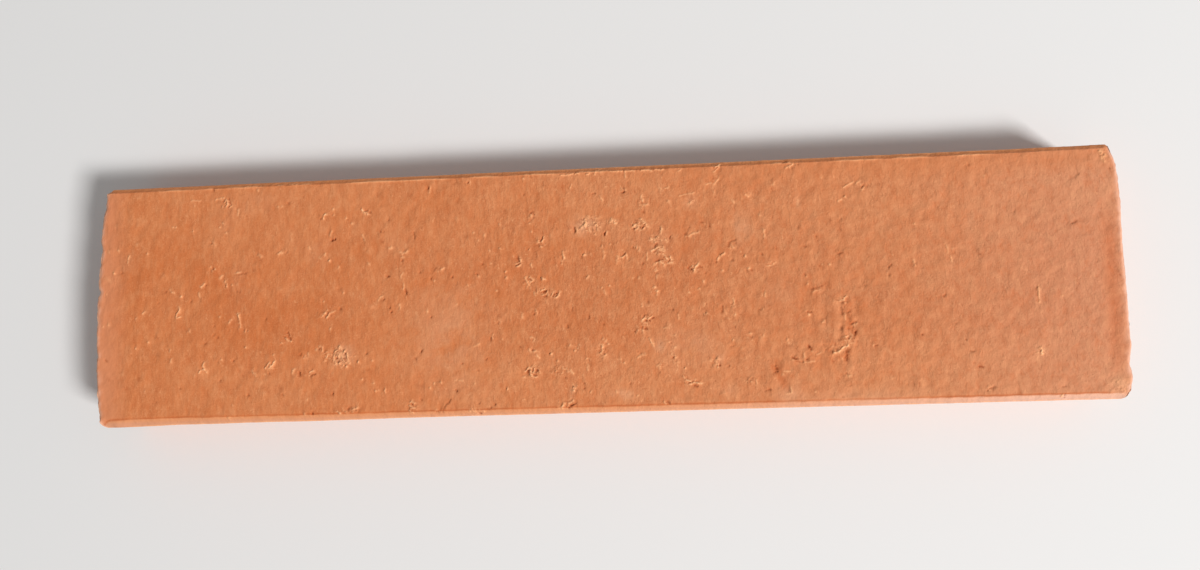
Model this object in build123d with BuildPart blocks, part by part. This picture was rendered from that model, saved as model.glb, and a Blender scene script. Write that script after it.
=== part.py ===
from build123d import *
import os

# A thin facing brick of fired clay, a brick slip, lying on its back with its face up.
# X runs along its length, +Y points to its back edge and +Z out of its face.
# The origin is the middle of the flat back. All sizes are in millimetres.

# The body
length = 220.0  # between the furthest points of the two cut ends
face_width = 50.0  # the flat face, between the two bevels
thickness = 15.0
front_bevel = 1.4  # width of the bevel along the front edge, seen from above
back_bevel = 1.1  # width of the bevel along the back edge, seen from above
bevel_drop = 1.2  # how far both bevels fall below the face
bed_arris = 0.5  # rounding of the back's edges
face_arris = 0.7  # rounding of the face's edges, which shows along the cut ends
front_swell = 0.5  # how far the front edge stands further out at its left corner
swollen_run = 7.0  # the stretch of the front edge that stands out by all of that
swelling_run = 36.0  # the stretch along which it comes out to there

# The four corners, seen from above: two are worn round and two are broken off
back_left_round = 1.4
front_left_round = 1.8
back_break_along = 1.8  # the broken back right corner, along the back edge
back_break_across = 2.3  # the same break, across the right end
back_break_round = 1.5  # rounding of both edges of that break
front_break_along = 2.0  # the broken front right corner, along the front edge
front_break_across = 1.8  # the same break, across the right end
front_break_round = 0.8  # rounding of both edges of that break

# The cut ends are uneven. A depth is how far an end lies behind its own furthest point.
left_back_depth = 1.9
left_front_depth = 1.1
right_back_depth = 0.8
right_front_depth = 0.8

# Between its corners, each end runs through these places, from the back to the front. The first
# number is the distance from the middle as a share of the width, and the second is the depth.
left_end_wave = [(0.41, 1.7), (0.33, 0.95), (0.24, 0.9), (0.1, 0.3), (-0.03, 0.05), (-0.14, 0), (-0.3, 0.15)]
right_end_wave = [(0.37, 0.25), (0.26, 0), (0.12, 0.15), (-0.05, 0.15), (-0.22, 0.1), (-0.36, 0.45)]

# Worked out from the sizes above
width = back_bevel + face_width + front_bevel + front_swell
left, right = -length / 2, length / 2
front, back = -width / 2, width / 2
front_line = front + front_swell

# The corners of the outline, seen from above
back_left = (left + left_back_depth, back)
front_left = (left + left_front_depth, front)
swell_end = (left + left_front_depth + swollen_run, front)
swell_start = (left + left_front_depth + swollen_run + swelling_run, front_line)
back_break_start = (right - right_back_depth - back_break_along, back)
back_break_end = (right - right_back_depth, back - back_break_across)
front_break_start = (right - right_front_depth, front_line + front_break_across)
front_break_end = (right - right_front_depth - front_break_along, front_line)
corner_rounds = [
    (back_left, back_left_round),
    (front_left, front_left_round),
    (back_break_start, back_break_round),
    (back_break_end, back_break_round),
    (front_break_start, front_break_round),
    (front_break_end, front_break_round),
]

# The line where each bevel leaves the face, and the bevel's width outwards from there. The knife
# that strikes the bevels off reaches past the sides, the ends and the face.
creases = [(back - back_bevel, back_bevel), (front_line + front_bevel, -front_bevel)]
knife_reach = 2.0
knife_overrun = 2.0

# The places that the uneven ends run through
left_points = [(left + depth, place * width) for place, depth in left_end_wave]
right_points = [(right - depth, place * width) for place, depth in right_end_wave]

with BuildPart() as brick_slip:
    # The block, cut to the outline seen from above, with its uneven ends and its corners
    with BuildSketch() as outline:
        with BuildLine():
            Line(back_left, back_break_start)
            Line(back_break_start, back_break_end)
            Spline(back_break_end, *right_points, front_break_start)
            Line(front_break_start, front_break_end)
            Line(front_break_end, swell_start)
            Spline(swell_start, swell_end, tangents=[(-1, 0), (-1, 0)])
            Line(swell_end, front_left)
            Spline(front_left, *reversed(left_points), back_left)
        make_face()
        for corner, radius in corner_rounds:
            fillet(outline.vertices().sort_by_distance(corner)[0], radius)
    extrude(amount=thickness)

    # The face and the back are worn round along their edges
    fillet(brick_slip.faces().sort_by(Axis.Z)[-1].edges(), face_arris)
    fillet(brick_slip.faces().sort_by(Axis.Z)[0].edges(), bed_arris)

    # The long edges of the face are struck off, which leaves sharp lines along both bevels
    with BuildSketch(Plane.YZ.offset(left - knife_overrun)):
        for crease, bevel in creases:
            with BuildLine():
                Polyline(
                    (crease, thickness),
                    (crease + knife_reach * bevel, thickness - knife_reach * bevel_drop),
                    (crease + knife_reach * bevel, thickness + knife_overrun),
                    (crease, thickness + knife_overrun),
                    close=True,
                )
            make_face()
    extrude(amount=length + 2 * knife_overrun, mode=Mode.SUBTRACT)

brick_slip.part.label = "brick_slip"
os.makedirs("parts", exist_ok=True)
export_step(brick_slip.part, "parts/brick_slip.step")
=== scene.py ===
"""A thin facing brick of fired clay, lying on its back with its face up.

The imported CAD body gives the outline, the thickness and the place. This script lays a worn
clay skin over it, then adds its colours, a camera, a floor and the light. Sizes are in
millimetres until a mesh is handed to Blender, which takes metres.
"""

import logging
import math
from dataclasses import dataclass, field, fields
from enum import Enum
from typing import Union

import bpy
import numpy as np
from mathutils import Euler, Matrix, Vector
from mathutils.bvhtree import BVHTree


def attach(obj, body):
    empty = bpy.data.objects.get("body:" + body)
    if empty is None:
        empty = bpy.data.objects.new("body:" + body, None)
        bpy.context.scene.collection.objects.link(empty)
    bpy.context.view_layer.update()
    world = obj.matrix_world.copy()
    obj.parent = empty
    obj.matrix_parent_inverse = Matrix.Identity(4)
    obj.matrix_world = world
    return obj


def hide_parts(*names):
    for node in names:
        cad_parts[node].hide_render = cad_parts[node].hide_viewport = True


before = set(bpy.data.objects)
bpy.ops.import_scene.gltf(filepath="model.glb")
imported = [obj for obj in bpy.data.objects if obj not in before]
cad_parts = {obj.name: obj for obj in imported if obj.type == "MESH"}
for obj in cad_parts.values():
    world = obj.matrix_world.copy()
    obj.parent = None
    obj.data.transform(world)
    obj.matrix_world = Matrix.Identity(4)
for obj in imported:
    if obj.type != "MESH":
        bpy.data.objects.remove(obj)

LOG = logging.getLogger("brick_slip")
NODE = "brick_slip"
BODY = "root"
MM = 0.001
TEXTURE_PIXELS = 1024.0
CELL_CORNERS = ((0, 0), (1, 0), (1, 1), (0, 1))
Array = np.ndarray
Pair = tuple[float, float]
Colour = tuple[float, float, float]


def shade(*parts: int) -> Colour:
    """Turn a screen colour's parts, 0 to 255, into the linear ones that Blender takes."""
    shares = (part / 255.0 for part in parts)
    return tuple(p / 12.92 if p <= 0.04045 else ((p + 0.055) / 1.055) ** 2.4 for p in shares)


def ease(value: Array) -> Array:
    """Ease a number from 0 to 1 smoothly, and hold it there outside."""
    t = np.clip(value, 0.0, 1.0)
    return t * t * (3.0 - 2.0 * t)


def bell(away: Array, width: Union[float, Array]) -> Array:
    """Fall smoothly from 1 at no distance to almost 0 at twice the width."""
    return np.exp(-(away / width) ** 2)


def patchy(noise: Array, level: Pair) -> Array:
    """Break a layer into patches, by an even level and the noise's share that is added to it."""
    return ease(level[0] + level[1] * noise)


def lift(kept: Array, value: Array, near: Union[Array, slice, tuple] = slice(None)) -> None:
    """Raise numbers to at least the value, at the places named or everywhere."""
    kept[near] = np.maximum(kept[near], value)


def walk_round(x: int, y: int, wide: int, deep: int) -> list[tuple[int, int]]:
    """Walk once round a block of a net from its front left corner, along its front first."""
    return ([(x + t, y) for t in range(wide)] + [(x + wide, y + t) for t in range(deep)]
            + [(x + wide - t, y + deep) for t in range(wide)] + [(x, y + deep - t) for t in range(deep)])


@dataclass(frozen=True)
class PhotoCamera:
    """The camera at the photograph's viewpoint, close above the face and a little off its middle."""

    lens: float = 26.0
    sensor: float = 36.0
    place: tuple[float, float, float] = (14.79, -11.97, 198.25)
    turn: tuple[float, float, float] = (3.915, 4.086, -1.817)
    nearest: float = 0.01
    furthest: float = 20.0

    def build(self) -> None:
        """Make the camera and use it for the scene."""
        data = bpy.data.cameras.new("photo_camera")
        data.lens = self.lens
        data.sensor_width = self.sensor
        data.sensor_fit = "HORIZONTAL"
        data.clip_start = self.nearest
        data.clip_end = self.furthest
        camera = bpy.data.objects.new("photo_camera", data)
        camera.location = Vector(self.place) * MM
        camera.rotation_euler = Euler([math.radians(angle) for angle in self.turn])
        bpy.context.scene.collection.objects.link(camera)
        bpy.context.scene.camera = camera
        LOG.info("camera %s mm above the floor", self.place[2])


class Noise:
    """Seeded smooth noise over a plane, the same on every run."""

    GAIN = 1.5

    def __init__(self, seed: int, size: int = 256) -> None:
        """Draw the lattice of slopes.

        Args:
            seed: The seed of the draw.
            size: How many lattice points there are before it repeats.
        """
        angles = np.random.default_rng(seed).uniform(0.0, 2.0 * math.pi, (size, size))
        self._size = size
        self._across = np.cos(angles)
        self._along = np.sin(angles)

    def at(self, x: Array, y: Array, pitch: float, stretch: float = 1.0, turn: float = 0.0) -> Array:
        """Sample the noise.

        Args:
            x: Places along the brick, in mm.
            y: Places across it, in mm.
            pitch: The distance between two swells, in mm.
            stretch: How many times longer the swells are than they are wide.
            turn: The direction of their long side, in degrees from the X axis.

        Returns:
            Values from about -1 to 1, one for each place.
        """
        cosine, sine = math.cos(math.radians(turn)), math.sin(math.radians(turn))
        u = (x * cosine + y * sine) / (pitch * stretch)
        v = (-x * sine + y * cosine) / pitch
        iu, iv = np.floor(u).astype(int), np.floor(v).astype(int)
        fu, fv = u - iu, v - iv
        wu, wv = (t * t * t * (t * (6.0 * t - 15.0) + 10.0) for t in (fu, fv))

        def corner(du: int, dv: int) -> Array:
            """Give the slope's share of one lattice corner."""
            a, b = (iu + du) % self._size, (iv + dv) % self._size
            return self._across[a, b] * (fu - du) + self._along[a, b] * (fv - dv)

        low = corner(0, 0) * (1.0 - wu) + corner(1, 0) * wu
        high = corner(0, 1) * (1.0 - wu) + corner(1, 1) * wu
        return self.GAIN * (low * (1.0 - wv) + high * wv)


@dataclass(frozen=True)
class Swell:
    """What is taken from a noise: its amount, the swells' pitch in mm, their stretch and its turn."""

    amount: float
    pitch: float
    stretch: float = 1.0
    turn: float = 0.0

    def of(self, noise: Noise, x: Array, y: Array) -> Array:
        """Sample a noise at places along the brick and across it."""
        return self.amount * noise.at(x, y, self.pitch, self.stretch, self.turn)


def pile(level: float, swells: tuple[Swell, ...], noises: list[Noise], x: Array, y: Array) -> Array:
    """Add up swells, each of a noise of its own, over an even level."""
    return level + sum(swell.of(noise, x, y) for swell, noise in zip(swells, noises))


@dataclass(frozen=True)
class Share:
    """A share that grows evenly with a number, from its start to its most."""

    start: float
    gain: float
    most: float = 1.0

    def of(self, value: Union[float, Array]) -> Union[float, Array]:
        """Give the share for a number."""
        return np.clip(self.start + self.gain * value, 0.0, self.most)


@dataclass(frozen=True)
class Mark:
    """A small mark in the fired face, placed in mm: a grain or a ridge where its height is above
    zero, a pit or a groove where it is below."""

    points: tuple[Pair, ...]
    half_width: float
    height: float

    @classmethod
    def read(cls, places: tuple[float, ...], half_width: float, height: float) -> "Mark":
        """Read a mark whose places are written one after another, each along and across."""
        return cls(tuple(zip(places[::2], places[1::2])), half_width, height)

    def away(self, x: Array, y: Array) -> Array:
        """Give how far places are from the mark's line.

        Args:
            x: Places along the brick, in mm.
            y: Places across it, in mm.

        Returns:
            The distances in mm.
        """
        nearest = np.hypot(x - self.points[0][0], y - self.points[0][1])
        for (ax, ay), (bx, by) in zip(self.points, self.points[1:]):
            run = (bx - ax) ** 2 + (by - ay) ** 2
            along = np.clip(((x - ax) * (bx - ax) + (y - ay) * (by - ay)) / run, 0.0, 1.0)
            nearest = np.minimum(nearest, np.hypot(x - ax - along * (bx - ax), y - ay - along * (by - ay)))
        return nearest


@dataclass
class Finish:
    """What a stretch of skin is like: its height in mm, the wear and the painted light and shade
    that colour it, 0 to 1, and how far it belongs to a cut end or to a long side, 0 to 1."""

    height: Array
    pale: Array
    dark: Array
    haze: Array
    deep: Array
    band: Array
    crumb: Array
    rim: Array
    end: Array
    side: Array

    @classmethod
    def blank(cls, count: int) -> "Finish":
        """Give an even skin for so many points."""
        return cls(*(np.zeros(count) for _ in fields(cls)))


@dataclass(frozen=True)
class NetPoints:
    """Points of the face's net: where they are, how far the edges' wear draws them in, and
    how far they are from the nearest end and long side, all in mm."""

    x: Array
    y: Array
    pull_x: Array
    pull_y: Array
    from_end: Array
    from_side: Array


# The layers that colour the skin: wear, and in pale, dark, deep, band and rim also painted highlights and
# shade
WEAR_AND_LIGHT = tuple(kind.name for kind in fields(Finish) if kind.name != "height")

# Marks of the face, by their half width and then by their height. Each is the places that it runs
# through, along and across by turns: one place is a spot, and more are a stroke.
MARKS = {
    0.14: {
        -0.26: [(11.3, 12.6, 11.7, 13.1)], -0.25: [(14.2, 5.8, 15.6, 5.9)], -0.24: [(16.9, 5.8), (12, -7.4),
        (-12.6, 17.1, -12.1, 17.4, -11.7, 16.7)], -0.22: [(-15.8, 6, -15, 6.3), (9.5, 13.6),
        (13.8, 7.6, 14, 7.8), (7.1, 20.7, 8, 20.6), (96.1, -24.7, 96.2, -25.3)], -0.2: [(-11.2, -0.1),
        (-10.1, -1, -9.6, -0.8), (10.3, 12.9), (14.8, 8.4), (16.7, 5.5), (17.6, 5.6),
        (10.9, -6.3, 11.3, -5.7, 11.9, -5.7), (19.8, -20, 20.6, -20.2), (42.5, -16.4, 43.9, -16.6),
        (51.2, -3.8, 52.4, -4.1), (81.4, -23.1, 82.1, -22.8)], -0.18: [(4.8, 14.3), (15.9, 6.5),
        (51.8, -4.4, 52.7, -4.4)], -0.16: [(-11.8, -0.4), (-12.9, -16.4), (11.9, 13.6),
        (7.2, 7.2, 7.7, 7.7), (9.8, 8.8), (20.9, 10.5), (19.8, -19.2), (20.8, -19.9, 22.2, -20.1),
        (37.4, 4), (53.9, 18.1)], -0.14: [(-1, -14.7), (-11.3, 10, -10.5, 10.3, -9.8, 9.8), (0.8, 12.8),
        (23.8, 13.6, 24.3, 13.6), (80.6, 4.7, 81.1, 4.6), (99.8, 10.2, 100.9, 10.7)], -0.13: [(39.4, 7.4),
        (77.8, -15.4, 78.7, -15.4)], -0.12: [(-4.1, -3.3, -4, -4.3), (-12.8, -10.2), (-3.7, -20.1),
        (-12.9, 6), (-6.1, 7.9), (-6.2, 6.3), (-1.2, 8.1), (-1.7, 7.4), (-1.8, 12.9), (21.3, 3.6),
        (9.9, -9.5), (11.9, -10.4), (16.3, 21.1), (95.7, -23.1, 96.3, -23.1)], -0.1: [(-9.1, -13.2),
        (1.7, -13), (9.2, 8.9), (10.2, -13.7), (11.3, 18.3, 11.8, 18.2)], -0.09: [(12, -13.3)],
        0.09: [(-18.1, -20.9), (44.1, -16.6, 46.3, -16.5)], 0.1: [(-29.6, -18.2, -27.9, -18.3),
        (19.7, 19.4, 20.7, 19.7, 22.7, 19.9), (82.8, 20.9)], 0.12: [(-21.2, -8.6, -21.3, -9.5),
        (16.8, 10.4), (39.9, -18.4, 41.5, -18.2), (75.2, 4.4, 75.2, 3.3), (-88.1, 23, -86.1, 22.9),
        (-68.3, 25.7, -67.1, 25.7)], 0.13: [(-13.1, -9.7, -12.8, -9.5, -12.3, -9.9, -12.5, -10.4),
        (40.9, -22.9, 40.1, -23)], 0.14: [(-11.7, -16.5, -11.4, -17), (-14.9, 6.6, -15.8, 6.3),
        (-12.9, 16.1), (92.3, -2.5, 92.2, -5.8)], 0.17: [(37.5, 3.8, 38.2, 4, 39.2, 4.4)],
        0.19: [(-12.7, -17, -12.4, -16.3)]},
    0.15: {
        -0.32: [(12.8, -6.5, 13.2, -6.2), (10.7, -8.2)], -0.3: [(11.4, -8.4, 11.8, -8.6)],
        -0.26: [(-10.6, -0.2), (3.3, 11.6, 3.5, 12.2)], -0.24: [(-8.2, -1.1, -7.8, -0.4),
        (14, 8.9, 14.5, 9.4), (45.3, -6.2, 46, -6.2)], -0.22: [(-26.4, -24.5), (-10.4, 11, -9.9, 11.9),
        (1, 20.7, 1.7, 20.8), (-11.8, 16.2, -12.3, 15.7)], -0.2: [(-4, -20.4), (17.3, 10.9, 17.1, 10.4),
        (9.1, -9), (-12.8, 15.2), (41.5, 25.4, 42.3, 25.9), (42.6, 25.8), (53.6, -4.9),
        (58.8, -13.6, 59.3, -13.5), (80.8, -23.6)], -0.18: [(-13.4, 3.1, -12.7, 2.8), (30, 9.3, 31, 9.6),
        (43.4, 24.4)], -0.17: [(16.7, -11.8), (52.1, 5.8, 53, 6), (35.4, -5.4), (35.9, -22.3, 37, -22),
        (54.1, -9, 55.1, -8.5), (62.2, 2.5, 62.9, 3.1)], -0.16: [(-18.7, -20.4), (27.1, 25.2)],
        -0.15: [(67.3, -21.6, 67.3, -22.2)], -0.14: [(-0.6, -5.6, -0.5, -6.2), (2.3, 13.8),
        (23.2, 4.1, 23.8, 4), (9.7, -13.2), (45.1, 7.6, 45.6, 7.6)], -0.13: [(18.8, -6.6)],
        -0.12: [(-6, -24.4), (-12.1, 5.1), (21.4, 12.6), (10.5, -3.6), (29.8, -7.1),
        (59.8, -3.9, 60.1, -3.3)], -0.1: [(-11.3, 7.6), (-4.4, 13.5), (33.7, 19.5), (31, 8.9),
        (39.1, -17.9), (32.4, -20.5), (80.7, -22.3)], -0.09: [(-24.5, 4.3), (-11.2, -4.4), (14.2, 3.2),
        (-12.3, 25.7, -12.1, 24.9)], 0.09: [(-12.8, 1), (-4.9, -22.6), (-0.4, -21.4), (-16.5, 7.8),
        (-6, 5.9), (17.6, 10.7), (22.5, 3.1), (15.3, -8.7, 16.2, -8.4), (30.2, -3.2, 30.2, -3.9),
        (32.8, -11.1), (75.4, 5.9), (96.8, -4.6)], 0.1: [(-11.3, -17.3), (-9.5, 10), (7.6, 7.9),
        (16.7, -14), (2.8, -11.1, 3, -10.5), (39.2, 21, 39.8, 21.5), (27.9, 6.4, 28.5, 6.7),
        (46.6, -2, 47.9, -1.6), (40.8, -11.9, 41.2, -12.6), (47.6, -14.7, 46.8, -15.1), (58.4, -13.5)],
        0.12: [(-18.2, 4.6), (-25.4, -19), (-23.5, -25.1), (-12.1, 0.1, -11.9, -0.7),
        (-11.4, 0.3, -11.3, -0.2), (-5.4, -23.8, -4.7, -23.5), (14.1, 7.3), (20.6, 10.7),
        (-3.7, 22.1, -3.4, 23), (19.5, 24.8, 20.2, 25.1), (32.8, 6), (42.2, 24.4, 42.7, 24.7),
        (52.6, 16.8, 53.5, 17.3), (56.6, 20.4, 57.3, 20.9), (45.5, 1.4), (29, -7), (36.1, -2.4),
        (33, -20.2), (55.2, -8.9, 54.5, -9.2), (51.9, -16.1), (91.3, -16.9)], 0.13: [(33.6, -11.7),
        (34.1, -20.1, 34.2, -20.8), (14.6, 25.3, 16.4, 25.3), (-75.8, 25.6, -74.2, 25.6, -72.3, 25.6)],
        0.14: [(-9.2, -0.1, -9, -0.8), (24.1, -3.7), (27.1, 24.3, 28.2, 25.2), (45.6, -0.3),
        (48.2, -8.5, 48.7, -8.2), (92.3, -2.8), (8.2, 25.3, 10.2, 25.3)], 0.15: [(7.9, 7.4, 8, 6.4),
        (9.5, -9.1, 9.8, -8.8)], 0.16: [(-29.7, -20.5), (11.4, 13.6), (9.6, 8.9), (19, -18.8, 19.3, -19.2),
        (54.1, 19.8, 55, 20.4, 56, 20.8)], 0.17: [(-8.5, -1.1, -8, -0.1), (-4.4, -19.9, -3.8, -20.6),
        (36, -10.8), (58.2, 19.7, 57.8, 19.1)], 0.18: [(-7.5, -1.4, -6.8, -0.8, -6.7, 0),
        (-13.1, -17.8, -11.9, -18), (-2.5, 25.2, -1.8, 25.2)], 0.19: [(-10.3, -0.7, -9.7, -0.4),
        (3.9, 12.4, 3.7, 11.8), (9.5, 13.3, 10.6, 14), (10.9, 12.3, 11.9, 12.9)],
        0.2: [(-10.5, 0.3, -9.8, 0.6), (-13.2, -16.7, -13.5, -17.5), (12.1, -6.5, 12.8, -6),
        (26.3, -16.5, 26.3, -17.1), (41.2, -21.7, 41.2, -22.7),
        (-91, -0.4, -90.6, -1.1, -91.4, -2, -91.6, -2.6, -91.3, -2.9, -90.7, -2.6),
        (-86.2, -15, -86, -14.5, -85.3, -14.3)], 0.21: [(9.9, 12.5, 11, 13.4)],
        0.22: [(-14.2, -16.6, -13.7, -15.9, -13.2, -16.2), (20.3, -20.4, 21.6, -20.2, 22.8, -20.4)]},
    0.16: {
        -0.26: [(-40.1, 1.6, -39.9, 0.6)], -0.25: [(-49, 19.1, -48.4, 19.2)], -0.18: [(-53.9, -12.7)],
        -0.16: [(-77.3, 6.3, -75.6, 6.5), (-76.3, -6), (-75.5, -6.2), (-48.1, 18.2), (-57.4, -2.9),
        (-54.6, -11.1), (-56.4, -19.8, -56.4, -20.8)], -0.14: [(-56.2, 18.6), (-52.7, 17.5), (-56.7, -3.5),
        (-39.1, -24.4), (-32.5, -24.9, -31.7, -23.3, -30.6, -22.2)], -0.12: [(-55.1, -13.4), (-53.7, -13.9),
        (-39.4, -23.6)], -0.1: [(-40.1, 1.5, -39.7, 0.6), (-51, -13.6), (-54.6, -24.1)],
        0.1: [(-75.3, -6.4)], 0.12: [(-58.2, 17.8)], 0.13: [(-53, -13.4, -52.5, -13.9)],
        0.14: [(-77.2, -3.3, -77, -5.3), (-56.1, -11.6, -55.3, -10.9)], 0.15: [(-40.4, 2.8, -40.5, 1.7),
        (5, 25.4, 6.3, 25.4, 7.4, 25.3)], 0.16: [(-55, -12.3), (-5.5, 25, -4, 25.1, -3.2, 25.2),
        (11.7, 25.3, 13.2, 25.3, 13.8, 25.2), (-65.8, 25.7, -64, 25.7)],
        0.17: [(-80.6, 22.4, -80.2, 22.9, -79.8, 22.6, -79.7, 22, -80.1, 21.5),
        (-54.9, -11.5, -54.2, -12.3), (-54.5, -12.9, -53.8, -13.5)],
        0.18: [(-56.2, -12, -56.1, -13.1, -55.6, -13.7), (-54.2, -11.4, -53.6, -11.2),
        (-53.2, -11.7, -53.1, -12.8), (-55.6, -14, -54.7, -13.8, -54, -14.2), (-0.2, 24.9, 0.6, 25.1)],
        0.2: [(-92.5, 2.9, -92.1, 2.7)]},
    0.17: {
        -0.24: [(-61.4, -16.4, -60.4, -16)], -0.22: [(-66.4, -6.9, -66.1, -7.8, -65.8, -8.3), (-70, -13.6)],
        -0.2: [(-79.5, 23.1, -79.3, 22.2, -79, 21.7), (-59.8, -10.8, -59, -10.4), (-44.3, 4.7, -43.6, 4.6),
        (-55.4, -24.6)], -0.14: [(-63.7, -11.8, -63.4, -11.4), (-107.9, -11.5, -107.5, -11.8),
        (-36.9, -11.9)], -0.1: [(-70.2, -14.8), (-75.3, -19.9, -75.4, -20.5)], -0.09: [(-38.1, -13.6)],
        0.09: [(-61.5, 11.7, -61.3, 11.2), (-46.4, -19.8), (-53.7, -24.3)], 0.1: [(-80.9, 21.6),
        (-71.6, -15.7), (-61.9, -11.4, -61.8, -12.1), (-32.9, 5.3), (-58.6, -3.4), (-58, -13.3),
        (-44.9, -19.5, -44.8, -20.2), (-32.6, -18.7)], 0.12: [(-78.9, 21.4, -79.4, 21.1),
        (-86.4, 2.5, -86.2, 1.2), (-67.7, -9.1), (-62.9, -12.5, -62.4, -12), (-55.9, 18.5)],
        0.13: [(-79.5, -4.1, -79, -3.5), (-56.9, -3, -55.9, -2.5), (-58.7, -10.2, -58.6, -11.1),
        (-41.4, -1.5, -41.5, -2.6)], 0.14: [(-82.6, 23, -81.7, 23.3, -80.6, 23.4), (-80.1, 4.2, -80.1, 3.6),
        (-49, 12.8, -49.4, 13.8), (-14.8, -4.4, -14.8, -5.4), (30, -2.8, 30.2, -4)],
        0.15: [(-57.8, 10.1, -57.9, 9.5), (-57.8, -12.6, -57.3, -11.8), (12.3, 7.3, 12.3, 6),
        (-1, -15.7, -1.1, -16.9)], 0.16: [(-58.1, -2.9, -57.5, -2.4), (-39.7, -24.5, -38.9, -24.9),
        (27.1, 5.5, 27.7, 6.2, 28.6, 6.8)], 0.17: [(-78.1, 6.7, -76.9, 6.6), (-102.4, 11.3, -102.7, 9.8),
        (-55, -10.1, -54.4, -10.8), (-55.6, -24.1, -54.8, -24.6)],
        0.18: [(-61.6, -16.3, -61.4, -15.5, -60.7, -15.3), (-57.7, -4, -57.1, -3.1),
        (-39.4, -22.7, -39, -22.5, -38.5, -22.9), (-39.6, -23.3, -38.9, -23.8)],
        0.2: [(-66.9, -8, -66.2, -8.6, -65.5, -8.7), (-71.4, -14.3, -70.4, -13.2)],
        0.22: [(11.4, 19.7, 11.5, 19.1, 11.8, 18.5)],
        0.24: [(-85.3, -12.9, -85.5, -13.5, -85.1, -14.3, -84.7, -14.8)]},
    0.18: {
        -0.34: [(-7.5, -0.9, -7.2, -0.3), (9.7, 12.9), (10.9, 13.2), (11.6, -6.8), (12.4, -6.8)],
        -0.28: [(-12.7, -17.7, -12.1, -17.5), (-5.4, -24.8, -4.9, -24.3, -3.9, -23.8)],
        -0.26: [(-3, 13.6, -2.9, 12.8), (21.7, 3.5)], -0.25: [(73.1, -3.9, 73.5, -3.6)],
        -0.22: [(11.8, 16.4, 11.9, 16.1), (27.7, -4.4, 27.5, -5.6), (53.4, -11.9)],
        -0.2: [(-21.7, -9.4, -21.7, -9.9), (-24.3, -25.4), (16.9, -14.8), (26.7, -16.8), (33.5, -11.1),
        (58.3, 20.1, 57.8, 19.5)], -0.17: [(26.9, 22.7), (29.5, 8.2, 29.7, 9.1), (54.6, -11.9)],
        -0.16: [(96.2, -4.4)], -0.15: [(77.2, -13), (80, -15.9)], -0.14: [(-10.8, 3.1, -10.6, 2.6),
        (40.6, -22.3), (49.6, -14.4), (52.1, -9.7), (-38, 14, -38, 12.7)], -0.13: [(26.7, -8.8),
        (105.9, 13.2), (99.4, -8.8)], -0.12: [(-26, 24.3), (-5.2, -7.8), (33.2, 2.9),
        (46.2, -1.5, 47.7, -1.1, 49.4, -0.4), (54.2, 5.8), (54.3, -12.5), (51.5, -24), (68, 3),
        (107, -23.7)], -0.11: [(-22.6, -13.9)], -0.1: [(3.1, 9.4), (15.4, 9), (44.8, 25.1), (75.8, 5.2),
        (101.6, 20.5)], -0.09: [(-11.1, -2), (29.2, -12.9)], 0.09: [(-25.3, -11.1, -24.3, -10.7),
        (-11.8, -3.8, -11.5, -4.6), (-8.5, -17.1), (-2.1, -17.9), (2.6, 9.1), (14.8, 10.8),
        (14, 4.2, 14.1, 3.6), (17.9, -16.5), (30.1, 8.6, 30.6, 7.8), (36.1, -5.2), (74.3, 6.7, 74.6, 5.2)],
        0.1: [(-13.7, 1.1), (14.2, 2.7, 14.2, 2.1), (6, 7, 5.8, 5.6), (10.7, -3.9, 10.9, -3.2),
        (17.3, -14.7), (24.9, -15.8), (7.3, 21.6, 8, 21.4), (25.3, 21.6, 26.4, 21.9), (31.9, 7),
        (48.8, 3.7), (49.4, 22.1), (67.6, 3.9, 67.7, 2.8)], 0.11: [(-0.7, -14.7), (18.4, -5.9, 18.6, -6.7)],
        0.12: [(-19.2, -9.8), (-1.4, -14.5), (2.5, -13.9), (-5.6, 8.5), (13.7, 5), (15.7, 4.6),
        (14.8, -23.9, 15.1, -24.3), (15.3, 21.3, 15.7, 21.2), (21.3, 17.6, 22, 17.9), (-12.7, 14.8),
        (45.8, -14.3), (41.8, -16), (53.5, -19.6, 53.1, -19.7), (46.2, -22.8)],
        0.13: [(13.8, -0.5, 14.3, -0.9, 14, -1.5), (12, 17.8, 12.7, 17.9)], 0.14: [(0, 13.1, 0.4, 12.6),
        (16.3, -11.5), (16.6, 21.1, 17.4, 21.5), (27.1, 21.7, 28.1, 22.9), (33.6, 19.1, 34.1, 18.7),
        (57.6, 20.2), (-41.1, 4.3, -40.6, 5.2)], 0.15: [(-13.9, 3.4, -13.7, 2.5, -13.2, 1.6),
        (2, -12, 2.1, -12.7), (-11, 10.7, -10.6, 10.6), (-12.6, 6, -12.3, 5.4),
        (21.3, 10.8, 22.2, 11.3, 23.4, 11.6), (25.9, -15.5, 26, -16.2), (53.8, -11.9, 53.6, -12.5),
        (91.2, -16.1)], 0.16: [(-13, 3.3, -12.2, 2.6, -12.9, 2.2), (-4.9, -16.7, -4.2, -17.5),
        (1.6, 24.9, 1.9, 25.6, 2.5, 25.9), (8.2, 25.3, 8.2, 23.8), (-12.4, 16.7, -12.1, 16.1),
        (43, 24.7, 43.8, 25.1), (53.3, -4.6)], 0.17: [(-26.5, -24.8), (-13.5, -12.1, -13.2, -12.7),
        (1.8, -13.4), (-15.7, 5.7, -15, 5.9), (13.6, 9.8, 13.9, 10.1), (15.6, 7.1, 16.1, 6.8),
        (6.2, 6.7, 7, 6.7, 7.7, 7.3), (11.5, -7.3, 11.8, -7.5), (53, -11.5, 53.6, -11.3),
        (95.7, -24.7, 95.5, -25.2)], 0.18: [(-4.5, -21, -4, -21.3), (4.6, 14.4, 5.1, 15, 5.6, 14.9),
        (11.5, 19.7, 11.9, 18.8)], 0.19: [(-2.7, 13.4, -2.5, 12.5), (14.5, 8, 15.3, 8.1, 15.7, 8.5),
        (14.2, 5.3, 15.4, 5.5, 15.8, 5), (16.5, 5.2, 17.6, 5.2), (53.4, -3.3, 52.7, -3.8, 52, -4.1)],
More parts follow.
